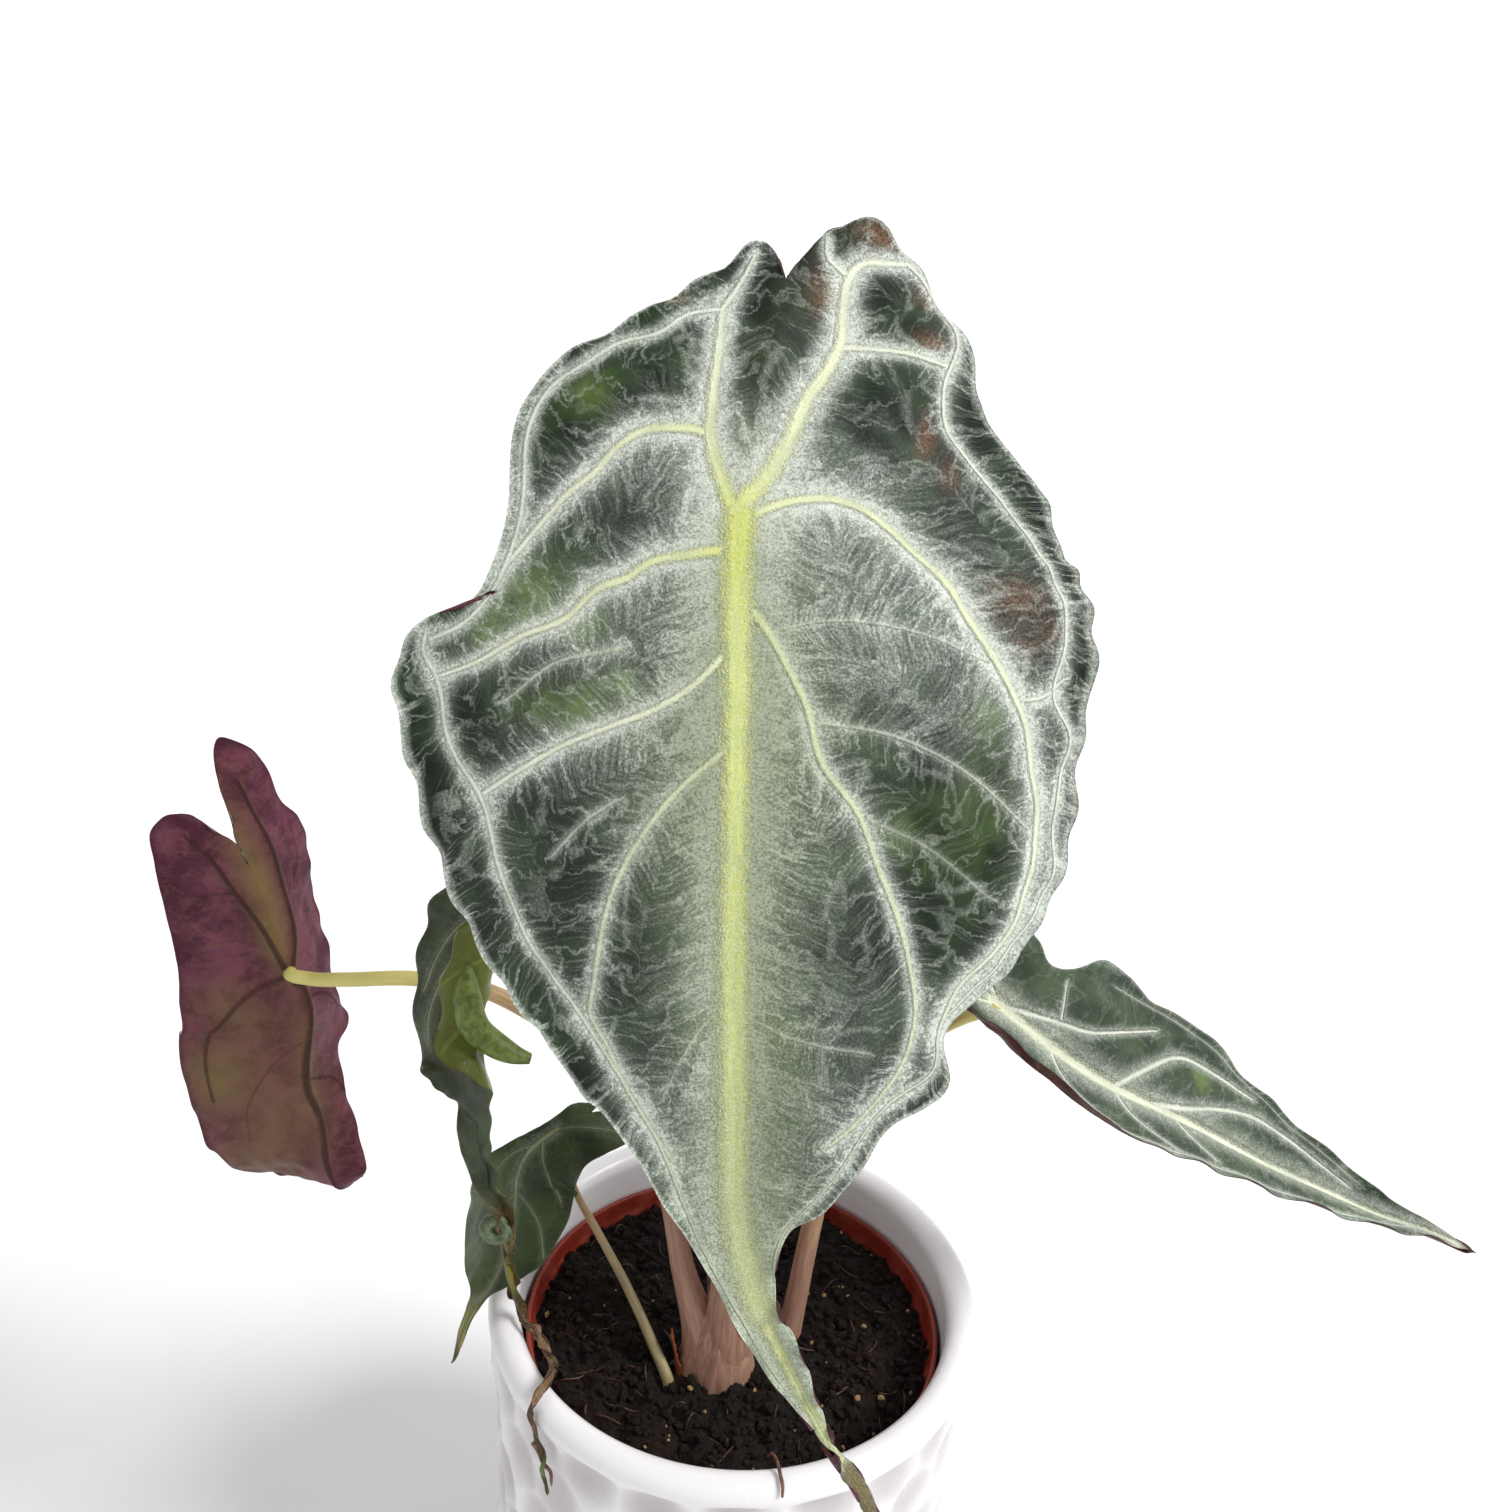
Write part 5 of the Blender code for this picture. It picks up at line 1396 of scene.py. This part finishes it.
def sheet_faces(rows, columns):
    """Faces of a thin closed sheet whose points are an upper and then a lower grid."""
    upper = np.arange(rows * columns).reshape(rows, columns)
    lower = upper + rows * columns
    quads = []
    for layer, flip in ((upper, False), (lower, True)):
        quad = np.stack((layer[:-1, :-1], layer[1:, :-1], layer[1:, 1:], layer[:-1, 1:]), -1)
        quad = quad.reshape(-1, 4)
        quads.append(quad[:, ::-1] if flip else quad)
    loop = np.concatenate((upper[0, :-1], upper[:-1, -1], upper[-1, :0:-1], upper[:0:-1, 0]))
    low = np.concatenate((lower[0, :-1], lower[:-1, -1], lower[-1, :0:-1], lower[:0:-1, 0]))
    quads.append(np.stack((loop, np.roll(loop, -1), np.roll(low, -1), low), -1))
    return [np.concatenate(quads)]


# ---- pots and soil

COVER_SIDES = 500
NURSERY_SIDES = 240


def arc(centre, radii, start, end, steps):
    """Points on an elliptic arc, angles in degrees from outwards."""
    angle = np.radians(np.linspace(start, end, steps + 1))
    x = centre[0] + radii[0] * np.cos(angle)
    return np.stack((x, centre[1] + radii[1] * np.sin(angle)), -1)


def turned(profile, sides, shift=None):
    """A profile of (radius, height) turned about the vertical axis; shift moves the radius."""
    turn = round_turn(sides)
    radius = np.broadcast_to(profile[:, :1], (len(profile), sides))
    height = np.broadcast_to(profile[:, 1:], (len(profile), sides))
    if shift is not None:
        radius = radius + shift(turn[None], height)
    return points_of(radius * np.cos(turn), radius * np.sin(turn), height)


def make_turned(name, profile, sides, materials, nodes, shift=None):
    """A closed turned piece whose profile starts and ends on the axis."""
    body = turned(profile[1:-1], sides, shift)
    ends = np.array(((0.0, 0.0, profile[0, 1]), (0.0, 0.0, profile[-1, 1])))
    points = np.concatenate((body.reshape(-1, 3), ends))
    return make_piece(name, points, closed_rings(len(profile) - 2, sides), materials, nodes)


def dimple_depth(turn, height):
    """The hammered dimples' depth: rows of staggered bowls, each a paraboloid.

    Depth = 1 - (distance to the nearest bowl's centre / reach) squared. Each bowl's centre
    and reach vary a little, by a seeded table of its row and number.
    """
    setting = settings("pot")
    number = setting.dimples_round
    pitch = 2 * math.pi * RIM_RADIUS / number
    row_pitch = pitch * 0.8
    top = RIM_HEIGHT - setting.rim_band - row_pitch * 0.36
    across = turn * RIM_RADIUS / pitch
    level = (top - height) / row_pitch
    random = np.random.default_rng(31)
    table = random.uniform(-1, 1, (40, number, 3))
    nearest = np.full(np.broadcast(across, level).shape, 9.0)
    for row_step in (-1, 0, 1):
        row = np.floor(level + 0.5) + row_step
        stagger = np.mod(row, 2) * 0.5
        for column_step in (-1, 0, 1):
            column = np.floor(across - stagger + 0.5) + column_step
            pick = table[row.astype(int) % 40, column.astype(int) % number]
            gap_x = (across - stagger - column - 0.1 * pick[..., 0]) * pitch
            gap_y = (level - row - 0.1 * pick[..., 1]) * row_pitch
            distance = np.sqrt(gap_x ** 2 + (gap_y * 0.93) ** 2) / (pitch * 0.6)
            nearest = np.minimum(nearest, distance * (1 + 0.05 * pick[..., 2]))
    bowl = np.clip(1 - nearest ** 2, -0.05, 1.0)
    band = RIM_HEIGHT - setting.rim_band
    return bowl * smooth_step(band + 1.5, band - 3.5, height)


def glaze_finish():
    """White glaze: grey-lilac painted shade in the dimples, and a clear glossy coat."""
    setting = settings("pot")
    shader = Shader("white_glaze", 0.3, specular=0.35, coat=0.2, coat_roughness=0.12)
    place = shader.place()
    cloud = shader.noise(place, 0.05, 3.0)
    # Painted shade: deeper dimples, with some soft noise, turn the glaze towards its painted shade
    # colour.
    pool = shader.times_add(shader.value("pool"), 0.6, shader.times(cloud, 0.4))
    base = shader.mix(shader.step(pool, 0.25, 0.85), setting.glaze, setting.glaze_painted_shade)
    speck = shader.noise(place, 1.3, 2.0)
    base = shader.mix(shader.step(speck, 0.76, 0.8, 0.0, 0.15), base, srgb(196, 184, 172))
    shader.bump(shader.noise(place, 0.35, 2.0), 0.00025, 0.35)
    return shader.finish(base, shader.step(cloud, 0.3, 0.7, 0.24, 0.34))


def make_cover_pot():
    """The white pot: a thick wall, a soft rounded rim, and rows of shallow dimples."""
    setting = settings("pot")
    base = float(POT_HIGH[0]) - 3.0
    wall = setting.wall
    floor = setting.floor
    top = RIM_HEIGHT
    bulge = wall / 2
    outer_low, outer_high = 4.0, top - 4.6
    outer = np.linspace(0.0, 1.0, 132)
    side = np.stack(
        (base + (RIM_RADIUS - base) * outer, outer_low + (outer_high - outer_low) * outer), -1
    )
    inner_foot = base - wall
    inner = np.linspace(0.0, 1.0, 14)
    inside = np.stack(
        (RIM_RADIUS - wall + (inner_foot - RIM_RADIUS + wall) * inner,
         outer_high + (floor + 4 - outer_high) * inner), -1
    )
    profile = np.concatenate(
        (
            [(0.0, 0.0)], arc((base - 4, 4), (4, 4), -90, 0, 6), side[1:-1],
            arc((RIM_RADIUS - bulge, outer_high), (bulge, 4.6), 0, 180, 18), inside[1:],
            arc((inner_foot - 4, floor + 4), (4, 4), 0, -90, 4)[1:], [(0.0, floor)],
        )
    )
    outside = 1 + 7 + len(side) - 2

    def shift(turn, height):
        """Dimples on the outer side only."""
        depth = dimple_depth(turn, height) * setting.dimple_depth
        outer_rows = (np.arange(len(height)) < outside)[:, None]
        foot = smooth_step(5.0, 11.0, height)
        return np.where(outer_rows, -depth * foot, 0.0)

    item = make_turned(
        "cover_pot", profile, COVER_SIDES, [glaze_finish()], ("cover_pot",), shift
    )
    points = np.empty(len(item.data.vertices) * 3, np.float32)
    item.data.vertices.foreach_get("co", points)
    points = points.reshape(-1, 3) / MM
    radius = np.linalg.norm(points[:, :2], axis=1)
    # The dimple depth at each point is stored as the mask of painted shade; inner faces get a fixed
    # 0.2.
    pool = dimple_depth(np.arctan2(points[:, 1], points[:, 0]) % (2 * math.pi), points[:, 2])
    face = base + (RIM_RADIUS - base) * points[:, 2] / top
    store(item.data, "pool", np.where(radius > face - wall / 2, pool, 0.2))
    return item


def plastic_finish():
    """Terracotta plastic with scuffs and dusty patches."""
    setting = settings("pot")
    shader = Shader("terracotta_plastic", 0.5, specular=0.4)
    place = shader.place()
    worn = shader.noise(place, 0.12, 5.0, 0.65)
    fine = shader.noise(place, 1.6, 3.0)
    base = shader.mix(shader.step(worn, 0.45, 0.72), setting.plastic, setting.plastic_worn)
    dusty = shader.step(shader.math("ADD", worn, shader.times(fine, 0.3)), 0.7, 0.9, 0.0, 0.5)
    base = shader.mix(dusty, base, srgb(74, 42, 30))
    shader.bump(fine, 0.0001)
    return shader.finish(base, shader.step(worn, 0.3, 0.7, 0.42, 0.62))


def make_nursery_pot():
    """The thin nursery pot with its rolled lip."""
    top = float(NURSERY_HIGH[2])
    low = float(NURSERY_LOW[2])
    radius = float(NURSERY_HIGH[0])
    wall, lip = 1.2, 7.0
    foot = radius - 11.2
    neck = radius - 2.2
    profile = np.concatenate(
        (
            [(0.0, low), (foot - 0.5, low)], [(foot, low + 0.6)],
            np.linspace((foot + 0.3, low + 4), (neck, top - lip), 24),
            [(neck + 0.3, top - lip), (radius - 0.3, top - lip), (radius, top - lip + 0.4)],
            np.linspace((radius, top - lip + 1), (radius, top - 1.2), 5),
            arc((radius - wall / 2 - 0.1, top - 0.7), (0.7, 0.7), 0, 180, 8),
            np.linspace((radius - wall - 0.2, top - 1.5), (radius - wall - 0.2, top - lip + 1), 5),
            np.linspace((neck - wall, top - lip - 1), (foot - wall, low + wall + 1), 20),
            [(foot - wall - 0.8, low + wall), (0.0, low + wall)],
        )
    )

    def shift(turn, height):
        """The lip is not perfectly round."""
        return 0.25 * np.sin(3 * turn + 1) * smooth_step(top - 12, top, height) - 0.2

    return make_turned(
        "nursery_pot", profile, NURSERY_SIDES, [plastic_finish()],
        ("nursery_pot",), shift,
    )


def soil_height(x, y):
    """The soil's surface: a low dome, with lumps from several sizes of soft random waves."""
    setting = settings("soil")
    radius = soil_radius()
    out = np.hypot(x, y) / radius
    crown = 2.0 * (1 - out ** 2) - 3.0 * out ** 12
    rough = setting.roughness
    lumps = rough * waves(x, y, 1, 15.0) + 0.8 * rough * waves(x, y, 2, 6.0, 20)
    crumbly = 0.5 * np.abs(waves(x, y, 3, 2.6, 24)) + 0.25 * waves(x, y, 4, 1.3, 24)
    return SOIL_HIGH[2] - 2.2 + crown + lumps * 0.8 + rough * crumbly


def soil_radius():
    """The radius of the soil's surface, just inside the nursery pot's lip."""
    return float(NURSERY_HIGH[0]) - 1.9


def soil_finish(name, dark, light):
    """Peat: dark and matt with lighter dry flecks and a damp gleam in places."""
    shader = Shader(name, 0.85, specular=0.25)
    place = shader.place()
    fleck = shader.noise(place, 0.9, 5.0, 0.7)
    cloud = shader.noise(place, 0.09, 3.0)
    share = shader.times_add(cloud, 0.5, shader.times(fleck, 0.7))
    base = shader.mix(shader.step(share, 0.5, 0.85), dark, light)
    shader.bump(fleck, 0.0012)
    return shader.finish(base, shader.step(cloud, 0.35, 0.65, 0.6, 0.95))


def make_soil():
    """The soil's body: rings out from the middle of the rough top, then down to the floor."""
    setting = settings("soil")
    sides, rings = 360, 130
    radius = soil_radius()
    share = np.linspace(0.0, 1.0, rings + 1)[1:]
    turn = round_turn(sides)
    x = radius * share[:, None] * np.cos(turn)
    y = radius * share[:, None] * np.sin(turn)
    top = points_of(x, y, soil_height(x, y))
    bottom = float(SOIL_LOW[2])
    foot = np.array((((radius - 3, SOIL_HIGH[2] - 12)), (float(NURSERY_HIGH[0]) - 13, bottom)))
    side = turned(foot, sides)
    middle = float(soil_height(np.zeros(1), np.zeros(1))[0])
    points = np.concatenate(
        (top.reshape(-1, 3), side.reshape(-1, 3), ((0, 0, middle), (0, 0, bottom)))
    )
    faces = closed_rings(rings + 2, sides)
    finish = soil_finish("potting_soil", setting.dark, setting.light)
    return make_piece("soil", points, faces, [finish], ("soil",))


def scattered(count, seed):
    """Random places over the soil, even over its area."""
    random = np.random.default_rng(seed)
    reach = (soil_radius() - 1.5) * np.sqrt(random.uniform(0, 1, count))
    turn = random.uniform(0, 2 * math.pi, count)
    return reach * np.cos(turn), reach * np.sin(turn), random


def make_crumbs(name, count, sizes, seed, finish, sunk):
    """Loose lumps: a twenty-faced ball, each copy stretched, turned and resting in the soil."""
    golden = (1 + math.sqrt(5)) / 2
    ball = unit(np.array(
        [(-1, golden, 0), (1, golden, 0), (-1, -golden, 0), (1, -golden, 0),
         (0, -1, golden), (0, 1, golden), (0, -1, -golden), (0, 1, -golden),
         (golden, 0, -1), (golden, 0, 1), (-golden, 0, -1), (-golden, 0, 1)], float
    ))
    triangles = np.array(
        [(0, 11, 5), (0, 5, 1), (0, 1, 7), (0, 7, 10), (0, 10, 11), (1, 5, 9), (5, 11, 4),
         (11, 10, 2), (10, 7, 6), (7, 1, 8), (3, 9, 4), (3, 4, 2), (3, 2, 6), (3, 6, 8),
         (3, 8, 9), (4, 9, 5), (2, 4, 11), (6, 2, 10), (8, 6, 7), (9, 8, 1)]
    )
    x, y, random = scattered(count, seed)
    size = sizes[0] + (sizes[1] - sizes[0]) * random.uniform(0, 1, count) ** 2.5
    stretch = random.uniform(0.55, 1.0, (count, 1, 3))
    rough = random.uniform(0.75, 1.15, (count, 12, 1))
    turns = np.linalg.qr(random.normal(size=(count, 3, 3)))[0]
    turns *= np.sign(np.linalg.det(turns))[:, None, None]
    body = ball[None] * rough * stretch * size[:, None, None]
    body = np.einsum("nij,nkj->nki", turns, body)
    centre = points_of(x, y, soil_height(x, y) + size * (0.5 - sunk))
    points = (body + centre[:, None]).reshape(-1, 3)
    faces = (triangles[None] + 12 * np.arange(count)[:, None, None]).reshape(-1, 3)
    item = make_piece(name, points, [faces], [finish])
    item.data.shade_flat()
    return item


def make_fibres(name, count, seed, finish):
    """Coir fibres: a small square section carried along short arcs that lie on the soil."""
    steps, sides = 7, 4
    x, y, random = scattered(count, seed)
    reach = random.uniform(3.0, 13.0, count)
    heading = random.uniform(0, 2 * math.pi, count)
    bend = random.uniform(-0.9, 0.9, count)
    share = np.linspace(-0.5, 0.5, steps + 1)
    turn = heading[:, None] + bend[:, None] * share
    run_x = x[:, None] + reach[:, None] * share * np.cos(turn)
    run_y = y[:, None] + reach[:, None] * share * np.sin(turn)
    inside = np.minimum(1.0, (soil_radius() - 1.0) / np.maximum(np.hypot(run_x, run_y), 1e-6))
    run_x, run_y = run_x * inside, run_y * inside
    lift = random.uniform(0.1, 1.2, count)[:, None] * (1 - (2 * share) ** 2)
    centre = points_of(run_x, run_y, soil_height(run_x, run_y) + lift + 0.35)
    centre[:, 1:-1] = (centre[:, :-2] + centre[:, 1:-1] + centre[:, 2:]) / 3
    forward = unit(np.gradient(centre, axis=1))
    side = unit(np.cross(forward, np.array((0.0, 0.0, 1.0))))
    up = np.cross(side, forward)
    thick = random.uniform(0.13, 0.42, count)[:, None] * (1 - 0.8 * (2 * share) ** 4)
    corner = np.radians((45, 135, 225, 315))
    ring = (
        side[:, :, None] * np.cos(corner)[:, None] + up[:, :, None] * np.sin(corner)[:, None]
    ) * thick[..., None, None]
    points = (centre[:, :, None] + ring).reshape(-1, 3)
    one = ring_faces(steps + 1, sides)
    last = steps * sides
    caps = np.array(((3, 2, 1, 0), (last, last + 1, last + 2, last + 3)))
    one = np.concatenate((one, caps))
    block = (steps + 1) * sides
    faces = (one[None] + block * np.arange(count)[:, None, None]).reshape(-1, 4)
    return make_piece(name, points, [faces], [finish])


def thread_finish(name, first, second):
    """A dry thread: brown, mottled by soft noise."""
    shader = Shader(name, 0.45, specular=0.35)
    fleck = shader.noise(shader.place(), 0.5, 4.0, 0.6)
    shader.bump(fleck, 0.0002)
    base = shader.mix(shader.step(fleck, 0.35, 0.65), first, second)
    return shader.finish(base, shader.step(fleck, 0.3, 0.7, 0.35, 0.55))


def make_threads():
    """The rolled blade's lobe and knot, its dry curly end, and a fibre hooked on the rim."""
    brown = thread_finish("dry_thread", srgb(120, 84, 68), srgb(84, 56, 46))
    olive = thread_finish("tail_knot", srgb(58, 70, 40), srgb(98, 112, 84))
    green = thread_finish("rolled_lobe", srgb(74, 90, 28), srgb(108, 124, 54))
    turns = np.radians(np.linspace(30, 430, 16))
    tail = beside_rim(
        (226.6, 6.4, -9), (227.8, 5.9, -11.5), (229.6, 6.3, -13.5), (231.4, 5.9, -15),
        (232.2, 6.4, -17.5), (231.8, 5.9, -20),
    )
    knot = from_rim(*(
        (-65.4 + 2.7 * math.cos(t), -25.0 - 0.5 * t * 0.3, 37.2 + 2.9 * math.sin(t)) for t in turns
    ))
    lobe = from_rim(
        (-72.5, -22.0, 118), (-72.3, -25.5, 110.9), (-70.1, -27, 102.8), (-65.1, -27.0, 98.1),
        (-60.1, -27, 95.5), (-56.3, -26.6, 94.3),
    )
    hook = beside_rim(
        (281.5, -10.0, -5), (281.8, -7.5, -0.8), (282.2, -4.0, 1.0), (282.3, 0.5, 1.1),
        (282.4, 3.4, 0.0), (282.2, 4.9, -2.0),
    )
    for name, path, radii, finish, slot, steps, sides in (
        ("tail_thread", tail, (0.9, 0.7, 0.55, 0.5, 0.4, 0.12), brown, "blade_olive", 60, 10),
        ("tail_knot", knot, (1.0, 1.9, 2.0, 1.8, 0.7), olive, "blade_olive", 80, 16),
        ("rolled_lobe", lobe, (0.8, 3.2, 3.8, 3.6, 3.0, 1.4), green, "blade_olive", 80, 24),
        ("rim_fibre", hook, (0.25, 0.35, 0.4, 0.45, 0.5, 0.35), brown, "potting_soil", 50, 8),
    ):
        make_tube(name, path, radii, [finish], slot, (), steps, sides)


# ---- stage

FLOOR_DROP = 0.0003    # metres below the pot's base


def make_floor():
    """A plain pale floor that sweeps up behind the plant: a quarter circle joins two planes."""
    setting = settings("stage")
    depth, bend, height, wide = 1.9, 0.9, 5.0, 6.0
    angle = np.radians(np.linspace(-90, 0, 25))
    curve = np.stack((depth + bend * np.cos(angle), bend + bend * np.sin(angle)), -1)
    line = np.concatenate(([(-3.5, 0.0)], curve, [(depth + bend, bend + height)]))
    across = np.linspace(-wide, wide, 9)
    points = points_of(across[None], line[:, :1], line[:, 1:] - FLOOR_DROP)
    index = np.arange(len(line) * len(across)).reshape(len(line), -1)
    quads = np.stack((index[:-1, :-1], index[:-1, 1:], index[1:, 1:], index[1:, :-1]), -1)
    mesh = bpy.data.meshes.new("floor")
    mesh.from_pydata(points.reshape(-1, 3).tolist(), [], quads.reshape(-1, 4).tolist())
    mesh.shade_smooth()
    shader = Shader("pale_floor", 0.8, specular=0.1)
    cloud = shader.noise(shader.place(), 0.004, 3.0)
    base = shader.mix(shader.step(cloud, 0.3, 0.7, 0.0, 0.3), setting.floor, srgb(242, 242, 243))
    # Painted shadow: a soft grey patch on the floor to the left of the pot.
    x, y, _ = shader.split(shader.place())
    shade = shader.times(shader.step(x, 20.0, -260.0), shader.step(y, 620.0, -160.0))
    base = shader.mix(shader.times(shade, 0.35), base, srgb(196, 197, 199))
    mesh.materials.append(shader.finish(base))
    add_object("floor", mesh)


PLANT_MIDDLE = (0.0, 0.0, 0.25)    # metres


def add_light(name, kind, place, power):
    """A soft light that looks at the middle of the plant."""
    light = bpy.data.lights.new(name, kind)
    light.energy = power
    item = add_object(name, light)
    item.location = place
    direction = Vector(PLANT_MIDDLE) - Vector(place)
    item.rotation_mode = "QUATERNION"
    item.rotation_quaternion = direction.to_track_quat("-Z", "Y")
    return item


CAMERA_PLACE = (-0.0052, -0.3395, 0.4563)    # metres
CAMERA_PITCH = 24.65    # degrees below level
CAMERA_ROLL = 4.22    # degrees
SENSOR_WIDTH = 36.0


def add_camera():
    """The camera: above and in front, looking 25 degrees down, rolled a little."""
    setting = settings("stage")
    pitch = math.radians(CAMERA_PITCH)
    roll = math.radians(CAMERA_ROLL)
    ahead = np.array((0.0, math.cos(pitch), -math.sin(pitch)))
    above = np.array((0.0, math.sin(pitch), math.cos(pitch)))
    right = math.cos(roll) * np.array((1.0, 0.0, 0.0)) + math.sin(roll) * above
    up = -math.sin(roll) * np.array((1.0, 0.0, 0.0)) + math.cos(roll) * above
    camera = bpy.data.cameras.new("camera")
    camera.lens = setting.focal_length
    camera.sensor_width = SENSOR_WIDTH
    camera.clip_start = 0.01
    item = add_object("camera", camera)
    place = Vector(CAMERA_PLACE)
    turn = Matrix((right, up, -ahead)).transposed()
    item.matrix_world = Matrix.Translation(place) @ turn.to_4x4()
    bpy.context.scene.camera = item
    return item


KEY_PLACE = (1.15, -0.3, 1.45)
KEY_SOFTNESS = 24.0    # degrees across
FILL_PLACE = (-0.9, -1.1, 0.9)
FILL_POWER = 1.5    # watts
FILL_SIZE = 1.2    # metres


def light_stage():
    """Even white light from all round, a key from the upper right and a weak fill."""
    setting = settings("stage")
    scene = bpy.context.scene
    world = bpy.data.worlds.new("pale_world")
    world.use_nodes = True
    background = world.node_tree.nodes["Background"]
    background.inputs["Color"].default_value = (1.0, 1.0, 1.0, 1.0)
    background.inputs["Strength"].default_value = setting.world_light
    scene.world = world
    scene.view_settings.view_transform = "Standard"
    key = add_light("key", "SUN", KEY_PLACE, setting.key_light)
    key.data.angle = math.radians(KEY_SOFTNESS)
    fill = add_light("fill", "AREA", FILL_PLACE, FILL_POWER)
    fill.data.size = FILL_SIZE


# ---- operators and panel

class ALOCASIA_OT_cover_pot(bpy.types.Operator):
    """Build the white dimpled cover pot"""

    bl_idname = "alocasia.cover_pot"
    bl_label = "Cover pot"

    def execute(self, context):
        make_cover_pot()
        return {"FINISHED"}


class ALOCASIA_OT_nursery_pot(bpy.types.Operator):
    """Build the terracotta nursery pot"""

    bl_idname = "alocasia.nursery_pot"
    bl_label = "Nursery pot"

    def execute(self, context):
        make_nursery_pot()
        return {"FINISHED"}


class ALOCASIA_OT_soil(bpy.types.Operator):
    """Build the potting soil with its crumbs, grains and fibres"""

    bl_idname = "alocasia.soil"
    bl_label = "Soil"

    def execute(self, context):
        setting = settings("soil")
        make_soil()
        peat = soil_finish("peat_crumbs", setting.dark, setting.light)
        make_crumbs("soil_crumbs", setting.crumbs, (0.45, 2.3), 11, peat, 0.15)
        mineral = soil_finish("mineral_grains", setting.grain, srgb(196, 170, 128))
        make_crumbs("soil_grains", setting.grains, (0.5, 1.5), 12, mineral, 0.0)
        coir = thread_finish("coir", setting.fibre, srgb(62, 38, 26))
        make_fibres("soil_fibres", setting.fibres, 13, coir)
        return {"FINISHED"}


class ALOCASIA_OT_stem_base(bpy.types.Operator):
    """Build the sheathing stem base and its dry sheath"""

    bl_idname = "alocasia.stem_base"
    bl_label = "Stem base"

    def execute(self, context):
        setting = settings("stalk")
        make_stem_base(stalk_finish("stem_skin", setting.pink, setting.pink_dark, setting.green))
        make_dry_sheath()
        return {"FINISHED"}


class ALOCASIA_OT_stalks(bpy.types.Operator):
    """Build the five leaf stalks"""

    bl_idname = "alocasia.stalks"
    bl_label = "Stalks"

    def execute(self, context):
        setting = settings("stalk")
        make_stalks(
            stalk_finish("stalk_skin", setting.pink, setting.pink_dark, setting.green),
            stalk_finish("low_stalk_skin", srgb(150, 138, 98), srgb(126, 112, 80), setting.green),
        )
        return {"FINISHED"}


class ALOCASIA_OT_leaves(bpy.types.Operator):
    """Build the five leaf blades"""

    bl_idname = "alocasia.leaves"
    bl_label = "Leaves"

    def execute(self, context):
        make_main_leaf()
        make_left_leaf()
        make_right_leaf()
        make_curled_leaf()
        make_low_leaf()
        return {"FINISHED"}


class ALOCASIA_OT_threads(bpy.types.Operator):
    """Build the rolled lobe, the knot and the dry threads"""

    bl_idname = "alocasia.threads"
    bl_label = "Threads"

    def execute(self, context):
        make_threads()
        return {"FINISHED"}


class ALOCASIA_OT_stage(bpy.types.Operator):
    """Build the floor, the lights and the camera"""

    bl_idname = "alocasia.stage"
    bl_label = "Stage"

    def execute(self, context):
        make_floor()
        light_stage()
        add_camera()
        return {"FINISHED"}


PIECES = (
    ALOCASIA_OT_cover_pot, ALOCASIA_OT_nursery_pot, ALOCASIA_OT_soil, ALOCASIA_OT_stem_base,
    ALOCASIA_OT_stalks, ALOCASIA_OT_leaves, ALOCASIA_OT_threads, ALOCASIA_OT_stage,
)
SETTINGS = {
    "alocasia_pot": PotSettings, "alocasia_soil": SoilSettings,
    "alocasia_stalk": StalkSettings, "alocasia_leaf": LeafSettings,
    "alocasia_stage": StageSettings,
}


class ALOCASIA_PT_panel(bpy.types.Panel):
    """The plant's settings and builders"""

    bl_idname = "ALOCASIA_PT_panel"
    bl_label = "Potted Alocasia"
    bl_space_type = "VIEW_3D"
    bl_region_type = "UI"
    bl_category = "Alocasia"

    def draw(self, context):
        """List every setting, then a button for every piece."""
        for attribute, group in SETTINGS.items():
            box = self.layout.box()
            for setting in group.__annotations__:
                box.prop(getattr(context.scene, attribute), setting)
        for operator in PIECES:
            self.layout.operator(operator.bl_idname)


def register():
    """Register the settings, the operators and the panel."""
    for attribute, group in SETTINGS.items():
        bpy.utils.register_class(group)
        setattr(bpy.types.Scene, attribute, bpy.props.PointerProperty(type=group))
    for operator in PIECES:
        bpy.utils.register_class(operator)
    bpy.utils.register_class(ALOCASIA_PT_panel)


def unregister():
    """Undo register."""
    bpy.utils.unregister_class(ALOCASIA_PT_panel)
    for operator in reversed(PIECES):
        bpy.utils.unregister_class(operator)
    for attribute, group in SETTINGS.items():
        delattr(bpy.types.Scene, attribute)
        bpy.utils.unregister_class(group)


def main():
    """Build every piece in order."""
    register()
    for operator in PIECES:
        group, name = operator.bl_idname.split(".")
        getattr(getattr(bpy.ops, group), name)()
    bpy.context.view_layer.update()


if __name__ == "__main__":
    main()
